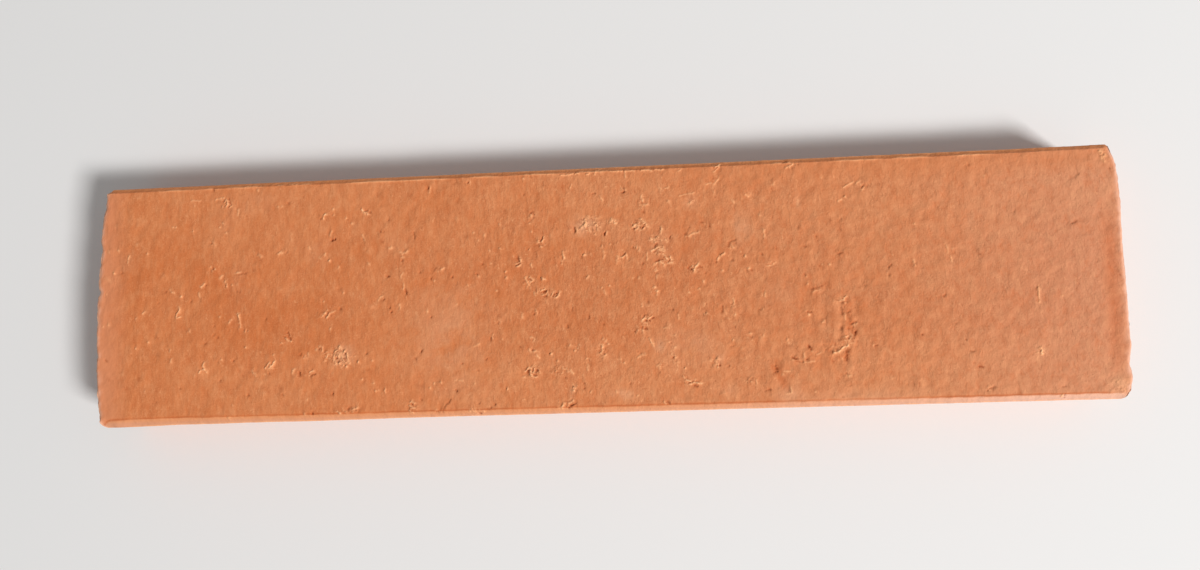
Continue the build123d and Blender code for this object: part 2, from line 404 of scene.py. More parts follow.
        0.2: [(13.2, 7.8, 14, 8.3, 14.8, 8.7), (16.2, 6.4, 16.5, 6), (21.4, 3.9, 21.8, 4.3)],
        0.21: [(-10.2, 10.7, -9.7, 11.8), (16.3, 10.1, 16.6, 9.7)],
        0.24: [(27.4, 25.4, 27.9, 25.5, 28.4, 25.9)], 0.3: [(19.6, -19.6, 20.4, -19.8)]},
    0.19: {
        0.18: [(-92.2, 17.4), (-91.6, 17.3), (-98.2, 11.7), (-107.1, 12.2), (-80.9, 17.8), (-81.6, 16.8),
        (-93, 3.4), (-83.6, 8.2), (-82.7, 7.7), (-83.3, 7.3), (-80.4, 4.8), (-80, 3.7), (-81.6, -2.9),
        (-97.9, -7.9), (-100.8, -9.2), (-93.1, -9.9), (-81.3, -12.3), (-55.9, 19.8), (-54.9, 7),
        (-53.9, 1.5), (-58.3, -0.3), (-56.9, -6.3), (-75.8, -9.7), (-67.7, -9.1), (-53.3, -14.5),
        (-78.9, 4), (-25.5, 24.4), (-13.7, 24.6), (-19.2, 15.1), (-24, 11.7), (-25, 13.3), (-22.6, 12.7),
        (-40.7, 8.7), (-35.4, -3.3), (-26.5, 1.9), (-24, 3.8), (-21.5, 9.4), (-19.4, 9.7), (-18.1, 4.7),
        (-18, 3.3), (-20.2, 0.5), (-13, 9.1), (-11.8, -4.1), (-47.6, -13.5), (-47.5, -18.4), (-44.9, -19.9),
        (-46.9, -20), (-7.4, -14.7), (-14.9, -22.7), (-34.2, -18.8), (-32.7, -18.5), (-26.3, -24.5),
        (8.1, 21.2), (1.2, 12.1), (2.7, 9.4), (4.5, 9.6), (-1.2, 7.7), (24, 1), (32.9, 6.2), (4.1, 0.9),
        (10.5, 2.4), (9, 2.3), (20.9, -1.3), (22.9, -0.6), (10.9, -3.8), (17.4, -10.1), (17.6, -12.6),
        (-4.7, -11.6), (-3, -12.3), (-3.7, -12.8), (-2.7, -11.4), (2.4, -10.4), (1.9, -13.4), (2.8, -13.8),
        (3.5, -11.5), (-1.1, -14.5), (-0.6, -21.5), (5.8, -14.7), (6.7, -15.6), (9.3, -22.6), (19.5, -17.2),
        (17.4, -14.8), (25.6, -15.9), (26.2, -15.3), (28.1, 3.1), (29.6, -11.5)],
        0.2: [(12.3, -11, 12.6, -11.5, 13, -11.8)]},
    0.2: {
        -0.4: [(79.6, -18.6, 80.3, -18.6)], -0.36: [(41.8, -15.5, 42.5, -15.8)],
        -0.34: [(-10.2, -0.1, -9.6, 0.2), (-14, -16.9, -13.6, -16.5), (-12.3, -17, -11.9, -16.6),
        (45.2, -13.3, 45.6, -14)], -0.3: [(-12.8, -12.3)], -0.28: [(21.3, -20.8, 21.8, -20.9)],
        -0.26: [(-29.3, -20.6), (-15.6, 7.5, -15.4, 6.9), (44.7, -15.9)],
        -0.24: [(38.2, -17.3, 38.5, -18.3)], -0.22: [(-83.5, 13.4), (-83.1, 25.2), (-80.7, 22.6),
        (-79.5, 22.4), (-79.6, 21.4), (-80.6, 21.6), (-95.6, 0.6), (-88.2, 0.7), (-83.1, 7.8), (-84.9, 4.2),
        (-86.2, 1.3), (-93.4, -9.9), (-90.7, -18.3), (-78.7, -12.6), (-81.7, -16.8), (-85, -8.6),
        (-82.2, -7.4), (-58.8, 17.9), (-68.8, 6.1), (-54.6, -2), (-67.7, -20.4), (-75.3, -20.2),
        (-56.4, -20.3), (-32.2, 25.7), (-43.5, 16.9), (-25.9, 24.4), (-13.9, 21.1), (-45.5, 14.5),
        (-40.8, 7.9), (-44, 4.6), (-36.8, 5.1), (-45.1, -0.5), (-43.7, -2.3), (-43.4, -3.2), (-34.5, -4.6),
        (-34.5, 3.7), (-29.8, 3.9), (-24.5, 4.3), (-23.2, 6.4), (-12.3, -4.7), (-48.8, -12), (-36.8, -11.7),
        (-38.2, -13.4), (-28.1, -14.6), (-22.8, -14), (-24.6, -16.3), (-15.4, -11.5), (-37.1, -22.2),
        (-33.9, -24.9), (-24.4, -23.2), (-22, -24.3), (-21.1, -23.6), (-24.5, -25.4), (7.7, 21.6),
        (-1.7, 7.4), (9.4, 8.8), (11.2, 5.2), (24.5, 2.8), (26.7, 5), (30.3, 5.3), (34.2, 3), (-5.3, -7.5),
        (-5.8, -18.4), (-2, -19.7), (-1.9, -20.8), (28.5, -16.9), (17, -14.9), (25.7, 12.8), (17.2, -4.7),
        (26.5, -16.7), (-0.8, -14.8)], -0.2: [(20.4, 11.2), (50.5, -13.1)], -0.19: [(13.9, -17.8),
        (48.3, 3.3)], -0.17: [(30.2, -8.8), (52.7, -19.2)], -0.16: [(7.9, -19.8, 7.7, -20.4),
        (108.7, -0.7)], -0.14: [(23.8, -6), (39.1, 20), (45.7, 12.5), (53.1, 13.1), (33.2, -19.7),
        (51.3, -15.9), (58.2, 3.1), (57.3, -1)], -0.13: [(79.7, 23.3)], -0.12: [(16.8, -4.6), (25.6, -7.5),
        (52.9, 10.9), (53.6, -9.9), (55.2, -12.7)], -0.1: [(-29.8, 4.1), (47.6, 14), (29.4, -11.7),
        (48.7, -14.2), (65.2, -17.8)], -0.09: [(-28.1, -14.4), (68.4, 1.5)], 0.09: [(-19.2, 14.8)],
        0.1: [(-24.2, 4), (-7.3, -14.7), (-7.9, -16.9), (-15, -22.6), (-4.1, 13), (2.9, -0.1, 3.1, -1.1),
        (13.6, -16.5, 14.2, -16.1), (17.6, -10.1), (44.4, 17.4, 44.3, 16.6), (53, -6.9, 53, -7.9),
        (107.1, 22.8), (108.7, 0.8), (3, 8.2, 3.2, 7.4, 2.9, 6.7)], 0.12: [(-13, 9.2), (-0.7, 2.7, -0.4, 3),
        (10.7, 8.7, 10.6, 8), (10.4, 2.1), (39.6, -19), (50.1, -13.5), (81.3, -23.5),
        (-77.3, 20.6, -77.4, 19.6)], 0.13: [(9.6, -14.6, 10.3, -14.1, 11.1, -13.9), (18.1, -15.7),
        (19.5, -17.2), (30.7, 18.1, 31, 17.5)], 0.14: [(-5.9, 6.6), (36.7, -1.6, 36.7, -2.5),
        (-92.7, -11.8, -92.7, -12.4)], 0.15: [(-10.5, 9.8, -10.2, 9.7), (-1.4, 7.6, -0.7, 7.7),
        (12.1, -10.6, 12.3, -11.4, 13, -12.2)], 0.17: [(-11.9, -13.5, -11.4, -14), (-1.6, 13.5, -0.6, 14.4),
        (13.4, 0.2), (2.4, 0.4), (4.9, -21.6), (2.5, 20.1, 3.1, 19.2)], 0.18: [(-12.5, -12.6, -12, -12.5),
        (11.3, 14.8, 12.1, 14, 12.6, 13.1), (13.3, 10.4, 14.2, 10.5)], 0.19: [(-4.4, -23.2),
        (-15, 7.5, -14.7, 6.8), (-5.7, 7.9, -5.4, 7.1), (17.3, 18.2)], 0.2: [(5.5, 14.1, 6, 14.1),
        (45.6, -6.8)], 0.23: [(10.8, -7, 11.2, -6.3, 11.9, -6.3)],
        0.24: [(53.3, -13.4, 52.2, -13.9, 51.2, -14.7, 50.2, -15)], 0.25: [(17.2, 6.4, 17.4, 5.8)]},
    0.21: {
        -0.24: [(-39.1, -23.1)], -0.22: [(-53.6, -12)], -0.2: [(-80.2, 22.3), (-53.2, -23.7, -52.6, -23.4),
        (-33.5, -24.9)], -0.18: [(-51.4, -24)], -0.16: [(-74, -15.5), (-49.4, 13)], -0.14: [(-73.1, 10.7),
        (-66.5, 10.7), (-86.2, 1), (-70.7, -15.5), (-33.7, 5.6, -33.3, 6)], -0.12: [(-84.9, 4.2),
        (-77.8, 2.6, -77.2, 2.4), (-78.7, -12.6), (-44.8, -0.3), (-43.7, -2.1), (-43.3, -3.1)],
        -0.1: [(-67.7, 11.4)], 0.09: [(-56.6, 14, -56.4, 14.9), (-33.9, -24.5)], 0.1: [(-68.3, 20.9),
        (-59, 9.2), (-108.5, -4.2), (-90.8, -1.7)], 0.11: [(-34.3, 23.5, -34.6, 22.6)],
        0.12: [(-67.5, 20.9), (-81.6, 5.5, -81.1, 6.1), (-74.3, -15, -73.6, -15.9), (-107.2, 12.6)],
        0.13: [(-46.1, -0.3, -45.3, 0.3)], 0.14: [(-62.7, -24.5), (-53.1, 17.7),
        (-41.1, 9.7, -40.5, 9.5, -39.5, 9.9), (-32.2, 5.6, -31.5, 5.9), (-35, -19.7),
        (-52.2, -23.7, -51, -23.6)], 0.15: [(-43.1, 10.9, -43.5, 10.7)], 0.16: [(-60, -10.8, -59.1, -10.1)],
        0.17: [(-76, -6.2)], 0.18: [(-65.4, -15.4, -65, -14.8), (-99.1, -1.6, -98.7, -1.3)],
        0.25: [(-70.6, -14.4, -69.8, -13.8, -69.3, -13)], 0.27: [(-80.1, 22.1), (-105.7, 7.6), (-90.4, 1.9),
        (-56.9, 8.5), (-74, -15.4), (-55.8, -11.4), (-54.7, -10.1), (-53, -12.3), (-56.1, -13.5),
        (-54.7, -13.9), (-50.7, -13.6), (-10.3, 2.8), (-8.9, -13.2), (17.3, 18.3), (15.5, 12.6), (2.1, -12),
        (-4.2, -20.6), (-4.1, -21.2), (13.7, 0.1), (14.2, -0.8), (24, -5.8), (10.1, 8.8), (-53.8, -11.1),
        (-57.8, 18.5), (-58.1, 17.8), (-77.4, -2.8)]},
    0.22: {
        -0.32: [(-56.3, 13), (-55.7, 13.2), (-59.5, -10.4), (-55.5, -12.7), (-53.6, -11.8), (-63.8, -15.8),
        (-61, -24.3), (-29.6, -20.4), (3.4, 12), (21.1, 3.9), (21.5, 3.7), (23.3, 4.2), (-61.5, -16),
        (-67, -7.8), (-34.9, 23.7), (7.9, 20.8)], -0.24: [(15.4, -24.1, 15.8, -24.3), (68.4, -11.6)],
        -0.22: [(45.2, 1.7)], -0.17: [(47.9, 9.7), (62.4, 0.8)], -0.15: [(36.4, 6.4)], -0.14: [(2.5, -7.4)],
        -0.12: [(24.6, -15), (88.5, 13.3)], -0.1: [(48.3, -13.2), (75.3, -9.7)],
        0.1: [(28.2, -5.1, 28.4, -5.8)], 0.12: [(44.2, -14.7, 44.2, -15.5)], 0.13: [(27, 19.9),
        (37, 11.6, 37.1, 10.1)], 0.16: [(-25.5, -24.7)], 0.17: [(24.3, -5.8), (33.3, -10.3),
        (106.6, 23.6, 107.3, 24.2)], 0.19: [(15.4, 13.1, 15.6, 12.5, 15.3, 11.7)],
        0.22: [(-10.4, 3, -9.7, 2.7)], 0.24: [(-18.3, -20.4)], 0.28: [(54.2, 17.7)]},
    0.23: {
        -0.3: [(-55.5, -12.8)], -0.24: [(-63.9, -15.5, -63.7, -16.2), (-56.3, 13, -55.7, 13.3)],
        -0.15: [(-34.3, 4)], -0.13: [(-45.1, 12.3)], -0.1: [(-40.8, 7.9), (-34.5, -4.4)],
        0.1: [(-107.7, 3)], 0.12: [(-79.7, -24.9)], 0.13: [(-50.7, -13.7)], 0.14: [(-33.7, 3.3)],
        0.17: [(-68.3, 10.4, -67.7, 10.7), (-85.8, 3.8, -85.1, 4.5)], 0.2: [(-53.3, -14.7)],
        0.22: [(-56.9, 8.5)], 0.26: [(-49.5, 19.4, -48.9, 18.8, -48.3, 18.4)]},
    0.24: {
        -0.13: [(54, -6.3)], -0.09: [(107.9, 21.2)], 0.17: [(-14.7, -18), (10.9, -8.9),
        (106.2, 24.9, 106.7, 24.5)], 0.19: [(1.4, 12)], 0.2: [(-7, -24.7, -6.5, -24), (33.6, 3.4)],
        0.21: [(22, 3.4, 22.4, 4.1, 22.9, 4.7)], 0.22: [(92, -15.3, 92.1, -16.4)], 0.24: [(30.3, -6.3)],
        0.25: [(-8.8, -13.3)]},
    0.25: {
        -0.3: [(-47.8, 18.8)], -0.14: [(-66, 21.6)], 0.1: [(-83.1, 13.9, -82.7, 13)],
        0.17: [(-77.5, -2.4, -77.2, -3.3)], 0.24: [(-58, 18.5, -57.6, 18.7)]},
    0.26: {
        -0.24: [(54.8, -10.8)], 0.13: [(-18.1, 3.3)]},
    0.28: {
        -0.22: [(-61, -24.5)], -0.2: [(-34.8, 23.6)], 0.12: [(-107.2, -3.8)],
        0.13: [(-72.7, 10.4, -72.2, 10)]},
    0.29: {
        -0.22: [(52.8, -14.4, 52.9, -16.2), (50, -16.5)], -0.12: [(52.2, -5.6, 52.5, -6.7)]},
    0.3: {
        0.03: [(-73.1, 8.6, -73.2, 6.9, -73.6, 2.7)], 0.14: [(-105.9, 7.8)]},
    0.31: {0.1: [(-28.4, 16.6)]},
    0.32: {
        0.1: [(-105.4, 18.1), (-100.2, 18.1), (-83, 13.4), (-94.5, 6.6), (-84.4, 6.8), (-104.1, -14.7),
        (-99.1, -15.1), (-69.5, 22.3), (-72.4, 20.3), (-64.5, 11.6), (-65.3, 13.4), (-48.3, 10.2),
        (-67.9, 2.7), (-76.9, -14), (-67.6, -11.3), (-72.2, -17.5), (-71.8, -19.8), (-56.5, -15.9),
        (-62.2, -12.5), (-37.8, 20.2), (-22, 21.4), (-8.2, 12.1), (-15.9, 13.1), (-48.4, 10.2),
        (-19.4, -5.8), (-24.7, -1.1), (-47.5, -1.8), (27, 19.7), (6.7, -11.1), (8.2, -16.9), (31.4, -13.4),
        (27.4, -22.5), (21.4, -4.7), (-34.3, 23.7), (-49, 10.7)]},
    0.38: {0.09: [(-108, 6.6, -107.4, 6.3, -106.6, 5.7)]},
    0.4: {
        -0.09: [(-96.5, -10.6), (-100.1, -15.9), (-102.7, -18), (-107, -15.9), (-73.9, 7.1), (-54.3, 2.1),
        (-68.1, -19), (-38.9, 22.2), (-45.8, 22.5), (-45.2, 20.2), (-28.3, 24.3), (-18.1, 17.8),
        (-26.8, 12.6), (-14, 14.2), (-7.8, -3.5), (-20, -4.8), (-48.4, -15.5), (-37.2, -19.3),
        (-93.2, -12)]},
    0.45: {0.11: [(50.8, -4.1, 52.1, -3.7, 53.1, -3.1)]},
    0.5: {
        -0.07: [(70.7, 13.5, 71.7, 14.3, 72.7, 15.2)],
        0.12: [(50.3, -14.7, 51.6, -14.2, 52.6, -13.4, 53.3, -12.9)]},
    0.6: {
        -0.12: [(52.8, -2.3, 53.3, -3.8, 53.6, -5.7, 53.7, -8.2, 54.4, -10.3, 55, -11.1),
        (51.7, -15.6, 52.7, -15.8, 53.4, -14.2)]},
    0.7: {-0.15: [(38.3, -17.4, 38.8, -18.9, 39.6, -20.4, 40.3, -21.8)]},
}
# Crumbly patches: middle, half length, half width and how broken they are
PATCHES = (
    (-80.3, 22, 1.9, 1.1, 0.35), (-78.7, 19.7, 1.7, 1.7, 0.15), (-57.9, -3.3, 1.9, 1.1, 0.3),
    (-54.7, -12.5, 2.5, 2.3, 1), (-57.8, -12.4, 1.1, 1.7, 0.6), (-48.5, 18.8, 1.3, 0.8, 0.3),
    (0.2, 14.2, 2.9, 1.9, 1), (5.1, 14.6, 1.3, 0.8, 0.7), (11, 13.5, 1.9, 1.3, 0.9),
    (14.3, 10.2, 1.5, 1.3, 0.8), (15.1, 8, 1.9, 1.3, 0.6), (16.3, 5.6, 1.9, 1.1, 0.6),
    (13.9, 3.8, 1.1, 1.7, 0.35), (-9.9, 0, 1.9, 1.1, 0.6), (-7.6, -0.5, 1.1, 1.1, 0.5),
    (-13.3, 2.4, 1.3, 1.3, 0.5), (-13, -16.7, 1.9, 1.5, 0.9), (-7, -16.7, 2.9, 1.3, 0.55),
    (-3.9, -20.6, 1.1, 1.1, 0.5), (-3.2, -12.2, 1.1, 1.3, 0.3), (2.1, -12.8, 1.3, 1.7, 0.7),
    (-5.1, -23.9, 1.7, 0.8, 0.6), (6.6, 7, 1.9, 1.3, 0.35), (-10.3, 10.7, 1.3, 1.3, 0.35),
    (-15.2, 6.6, 1.3, 1.3, 0.4), (-5.6, 7.3, 1.1, 1.7, 0.4), (22.1, 4.1, 1.5, 1.1, 0.5),
    (11.8, -7.2, 1.7, 1.7, 0.4), (10.3, -8.8, 1.5, 0.8, 0.5), (21, -20, 2.3, 0.8, 0.6),
    (25.9, -16, 1.3, 1.5, 0.5), (30.3, -5.1, 1.7, 1.9, 0.35), (33, -20, 1.7, 1.1, 0.35),
    (30.3, 8.5, 1.3, 1.3, 0.25), (34.1, 18.9, 1.3, 0.8, 0.25), (27.5, 22.5, 1.5, 2.1, 0.25),
    (53.5, -11.9, 1.7, 1.7, 0.5), (52.2, -14.3, 1.9, 1.5, 0.4), (52.7, -4, 1.5, 1.1, 0.4),
    (81.1, -23, 1.5, 1.1, 0.35), (91.9, -15.8, 1.3, 1.1, 0.5), (106.7, 24.1, 1.3, 1.5, 0.5),
    (106.9, -23.3, 2.3, 1.7, 0.4), (27.6, 25.5, 1.3, 0.8, 0.5), (43.1, 25, 1.7, 0.8, 0.5),
    (-54.1, -24.1, 2.7, 0.8, 0.5), (-39, -23.6, 1.3, 1.5, 0.5), (-25.4, -24.9, 1.9, 0.8, 0.5),
    (11.6, 18.2, 1.3, 1.9, 0.4), (21.8, 18, 1.5, 1.3, 0.3), (2, 25.6, 1.3, 0.8, 0.4),
    (-66.2, -8, 1.5, 1.3, 0.35), (-70.3, -14.2, 1.7, 1.3, 0.35), (-61.4, -16, 1.5, 0.8, 0.3),
    (14.2, -16.5, 1.3, 1.3, 0.4), (17.2, -14.5, 1.3, 1.5, 0.35), (-33.3, 5.6, 1.7, 0.8, 0.2),
    (-40.5, 9.1, 1.5, 1.5, 0.25))
# Paler, dustier smudges: middle, half length, half width and strength
SMUDGES = (
    (-30.3, -9.5, 7.5, 12, 0.42), (-0.5, 13.8, 2.6, 1.7, 0.95), (31.6, 11.2, 0.8, 3.2, 0.8),
    (33, 11.4, 1.4, 3.4, 0.45), (14.3, -12.3, 1.2, 1.3, 0.95), (20.6, -12.3, 5.5, 4, 0.35),
    (79.4, 11.9, 0.8, 2.2, 0.5), (44.4, 17.3, 0.6, 1.2, 0.4), (-53.8, -12.3, 1.9, 2.2, 0.75),
    (91.9, -15.6, 1.3, 1.2, 0.6), (41, -23.2, 3.6, 2.3, 0.6), (55, -24, 12, 1.5, 0.4),
    (6.2, -22.2, 2, 1.1, 0.8), (26.9, -15.3, 1.2, 1.6, 0.5), (-4.6, -21.6, 0.5, 1.3, 0.5),
    (106.2, 23.6, 1.6, 1.6, 0.3), (107.3, -22.9, 2, 1.8, 0.9), (-72.8, 21.9, 4.5, 2.5, 0.24),
    (-79.4, 18.6, 2.5, 2.5, 0.24), (-58.7, 11.3, 4, 3.5, 0.22), (13.5, 10.2, 4, 3.5, 0.2),
    (-41.8, 11.3, 4, 2.5, 0.14), (-102.8, 8, 3, 3.5, 0.2), (-76.5, 4.6, 2.5, 3.5, 0.2),
    (40.5, -0.8, 3.5, 3.5, 0.2), (21.8, 18, 1.2, 1.2, 0.4), (-3, -12.3, 1.5, 1.5, 0.3),
    (28.3, -22.3, 1.5, 1, 0.4))
# The front crease's line from the left end to the right one: places along, and places across
FRONT_CREASE = ((-110, -108, -107.6, -107, -106, -104, 110),
                (-26.4, -25.6, -25.1, -24.85, -24.68, -24.6, -24.6))
# Places where the outline is drawn in or out: middle, reach along and across, shift along and across
NUDGES = (
    (-109.2, 3.4, 1, 0.9, 0.75, 0), (-108.8, 12.3, 0.9, 2, 0.3, 0), (-109.4, -3.8, 0.9, 0.9, 0.2, 0),
    (-109.4, -10.7, 0.9, 0.9, 0.32, 0), (-108.2, 22, 0.9, 0.8, 0.24, 0), (-109.4, -8, 0.9, 1, -0.12, 0),
    (-109.3, 0.5, 0.9, 2.6, 0.1, 0), (-109.4, -5.6, 0.9, 1, -0.14, 0), (-109.4, -14, 0.9, 2.6, -0.22, 0),
    (-108.8, -25.5, 1, 1, -0.15, -0.15), (-105, -26, 2, 1, 0, -0.55), (-62, -26, 16, 1, 0, -0.2),
    (-75, 26.4, 45, 1, 0, 0.14), (101, 26.3, 6, 1, 0, 0.2), (108.3, -25.7, 0.9, 0.9, 0.3, -0.45),
    (109.2, -21.6, 0.9, 1.5, 0.3, 0), (109.2, -18.8, 0.9, 1.2, -0.26, 0), (109.5, -15, 0.9, 1.6, 0.22, 0),
    (109.3, 14, 0.9, 5, -0.2, 0), (109.3, 9.4, 0.9, 1, -0.1, 0), (105.6, 26.3, 1.2, 0.8, 0.1, 0.3),
    (107.2, 25.9, 0.9, 0.9, 0.35, 0.35), (108.8, 24, 0.8, 0.9, -0.45, -0.1),
    (-108, 26.2, 0.9, 0.9, 0.4, -0.25), (-109.3, 2.5, 0.9, 5, 0.12, 0), (-92.5, -26, 6, 1, 0, 0.16),
    (109.3, 17, 0.9, 5, -0.2, 0), (109.4, 4.5, 0.9, 3, -0.13, 0))


@dataclass(frozen=True)
class MarkStyle:
    """How a mark is worked into the skin: its broken edge, its colour, a painted highlight on a
    raised one, the painted shadow beside it and painted shade in pits and grooves.

    Its reach is a margin and a share of its half width. Its width and its fullness are a level
    and the grain's share.
    """

    reach: Pair = (0.35, 2.6)
    width: Pair = (1.1, 0.5)
    fullness: Pair = (0.83, 0.8)
    steepness: float = 1.8
    # A raised mark's painted highlight, paler as it is higher and steeper
    pale: Share = Share(0.3, 3.2)
    highlight_spread: float = 0.7
    # Its painted shadow: a copy offset away from the lamp, sunk a little and painted darker
    shadow_side: Pair = (-0.2, 0.1)
    shadow_depth: float = 0.3
    shadow_deep: Share = Share(0.0, 3.5, 0.8)
    shadow_dark: Share = Share(0.0, 1.3, 0.4)
    broad: float = 0.4
    # Painted shade in broad hollows, and in pits and grooves
    hollow: Share = Share(0.0, 5.0)
    pit: Share = Share(0.2, 2.4)

    def draw(self, skin: Finish, mark: Mark, x: Array, y: Array, grain: Array) -> None:
        """Work one mark into the skin: a raised one with a painted highlight and a painted shadow
        beside it, a pit or a groove with painted shade.

        Args:
            skin: The skin, changed in place.
            mark: The mark.
            x: Places along the brick, in mm.
            y: Places across it, in mm.
            grain: The broken grain at each place.
        """
        reach = self.reach[0] + self.reach[1] * mark.half_width
        low, high = np.min(mark.points, axis=0) - reach, np.max(mark.points, axis=0) + reach
        near = np.flatnonzero((x > low[0]) & (x < high[0]) & (y > low[1]) & (y < high[1]))
        if not near.size:
            return
        u, v, broken = x[near], y[near], grain[near]
        width = mark.half_width * (self.width[0] + self.width[1] * broken)
        body = bell(mark.away(u, v), width) * patchy(broken, self.fullness)
        skin.height[near] += mark.height * body
        if mark.height > 0.0:
            steep = min(self.steepness * mark.height / mark.half_width, 1.0)
            # Painted highlight on the raised mark
            lift(skin.pale, steep * self.pale.of(mark.height) * body ** self.highlight_spread, near)
            # Painted shadow beside it, on the side away from the lamp
            along, across = self.shadow_side
            shadow = bell(mark.away(u - along, v - across), width) * (1.0 - body)
            skin.height[near] -= self.shadow_depth * mark.height * shadow
            lift(skin.deep, self.shadow_deep.of(mark.height) * shadow, near)
            lift(skin.dark, self.shadow_dark.of(mark.height) * shadow, near)
        # Painted shade in a broad hollow, or else in a pit or a groove
        elif mark.half_width > self.broad:
            lift(skin.deep, self.hollow.of(-mark.height) * body, near)
        else:
            lift(skin.dark, self.pit.of(-mark.height) * body, near)


@dataclass(frozen=True)
class EdgeWearAndLight:
    """The wear and painted light along the face's edges: pale rims, partly rubbed and partly a
    painted highlight, the front groove and the end's dip with painted shade, and the back burr
    with a painted highlight.

    A pair named patches is a level and the noise's share that is added to it.
    """

    # Pale rims, partly rubbed and partly a painted highlight along the arrises
    rim_pitch: float = 1.4
    end_rim: Pair = (0.6, 0.3)
    end_patches: Pair = (0.9, 0.5)
    side_rim: float = 0.2
    side_pale: float = 0.8
    side_patches: Pair = (0.8, 0.6)
    # The left end's pale line, a painted light that lifts the shade of its rounded edge
    left_line: float = 0.28
    left_pale: float = 0.55
    left_patches: Pair = (0.7, 0.8)
    rag: Swell = Swell(1.0, 0.9, 2.0)
    crease_half_width: float = 0.2
    front_wander: float = 0.08
    crease_end: float = 104.0
    crease_fade: float = 2.5
    # The front crease's groove, sunk and painted darker as its shade
    groove_depth: float = 0.08
    groove_deep: float = 0.8
    groove_dark: float = 0.34
    groove_swell: Swell = Swell(1.0, 3.0, 3.0)
    groove_patches: Pair = (0.6, 0.9)
    front_band: Pair = (0.02, 0.25)
    back_crease: float = 25.52
    back_wander: float = 0.16
    # The back burr, raised, with a painted highlight on it
    burr_height: float = 0.18
    burr_highlight: float = 0.8
    burr_swells: tuple[Swell, Swell] = (Swell(1.3, 2.4, 3.0), Swell(0.4, 0.9, 2.0))
    burr_level: float = 0.5
    back_patches: Pair = (-0.3, 0.6)
    # The right end's dip, sunk and painted deeper orange as its shade
    dip_line: Pair = (106.9, -4.0)
    dip_wander: Swell = Swell(0.4, 9.0)
    dip_reach: Pair = (1.6, 16.0)
    dip_depth: float = 0.09
    dip_deep: float = 0.55

    def rub_and_light_rims(self, skin: Finish, net: NetPoints, noise: Noise) -> None:
        """Make the outer rims pale, partly rubbed and partly a painted highlight along the arrises,
        which on the left end also lifts the shade of its rounded edge.

        Args:
            skin: The skin, changed in place.
            net: Its points.
            noise: The noise that breaks the rims up.
        """
        rag = noise.at(net.x, net.y, self.rim_pitch)
        end_width = self.end_rim[0] + self.end_rim[1] * rag
        lift(skin.rim, bell(net.from_end, end_width) * patchy(rag, self.end_patches))
        side = self.side_pale * bell(net.from_side, self.side_rim) * patchy(rag, self.side_patches)
        left = self.left_pale * bell(net.from_end, self.left_line) * patchy(rag, self.left_patches)
        lift(skin.pale, np.maximum(side, left * (net.x < 0.0)))

    def wear_and_shade_creases(self, skin: Finish, x: Array, y: Array, noises: list[Noise]) -> None:
        """Add the front crease's fine groove with painted shade in it, the back one's burr with a
        painted highlight, and the end's dip with painted shade.

        Args:
            skin: The skin, changed in place.
            x: Places along the brick, in mm.
            y: Places across it, in mm.
            noises: The face's noises.
        """
        rag = self.rag.of(noises[3], x, y)
        line = np.interp(x, *FRONT_CREASE) + self.front_wander * rag
        ended = ease((x - self.crease_end) / self.crease_fade)
        front = bell(y - line, self.crease_half_width) * (1.0 - ended)
        skin.height -= self.groove_depth * front
        # Painted shade in the front groove
        lift(skin.deep, self.groove_deep * front)
        uneven = patchy(self.groove_swell.of(noises[2], x, y), self.groove_patches)
        lift(skin.dark, self.groove_dark * front * uneven)
        # The front bevel's band, whose colour is partly a painted sheen
        gap, edge = self.front_band
        skin.band = ease((line - gap - y) / edge)
        back = (y - self.back_crease - self.back_wander * rag) / self.crease_half_width
        burr = bell(back, 1.0) * ease(pile(self.burr_level, self.burr_swells, noises[2:], x, y))
        skin.height += self.burr_height * burr
        # Painted highlight on the back burr
        lift(skin.pale, self.burr_highlight * burr)
        # The back bevel's band, whose colour is partly lifted out of its shade: painted light
        lift(skin.band, patchy(back, self.back_patches))
        off = (x - self.dip_line[0] - self.dip_wander.of(noises[0], x, y)) / self.dip_reach[0]
        dip = bell(off, 1.0) * np.exp(-((y - self.dip_line[1]) / self.dip_reach[1]) ** 4)
        skin.height -= self.dip_depth * dip
        # Painted shade in the dip
        lift(skin.deep, self.dip_deep * dip)


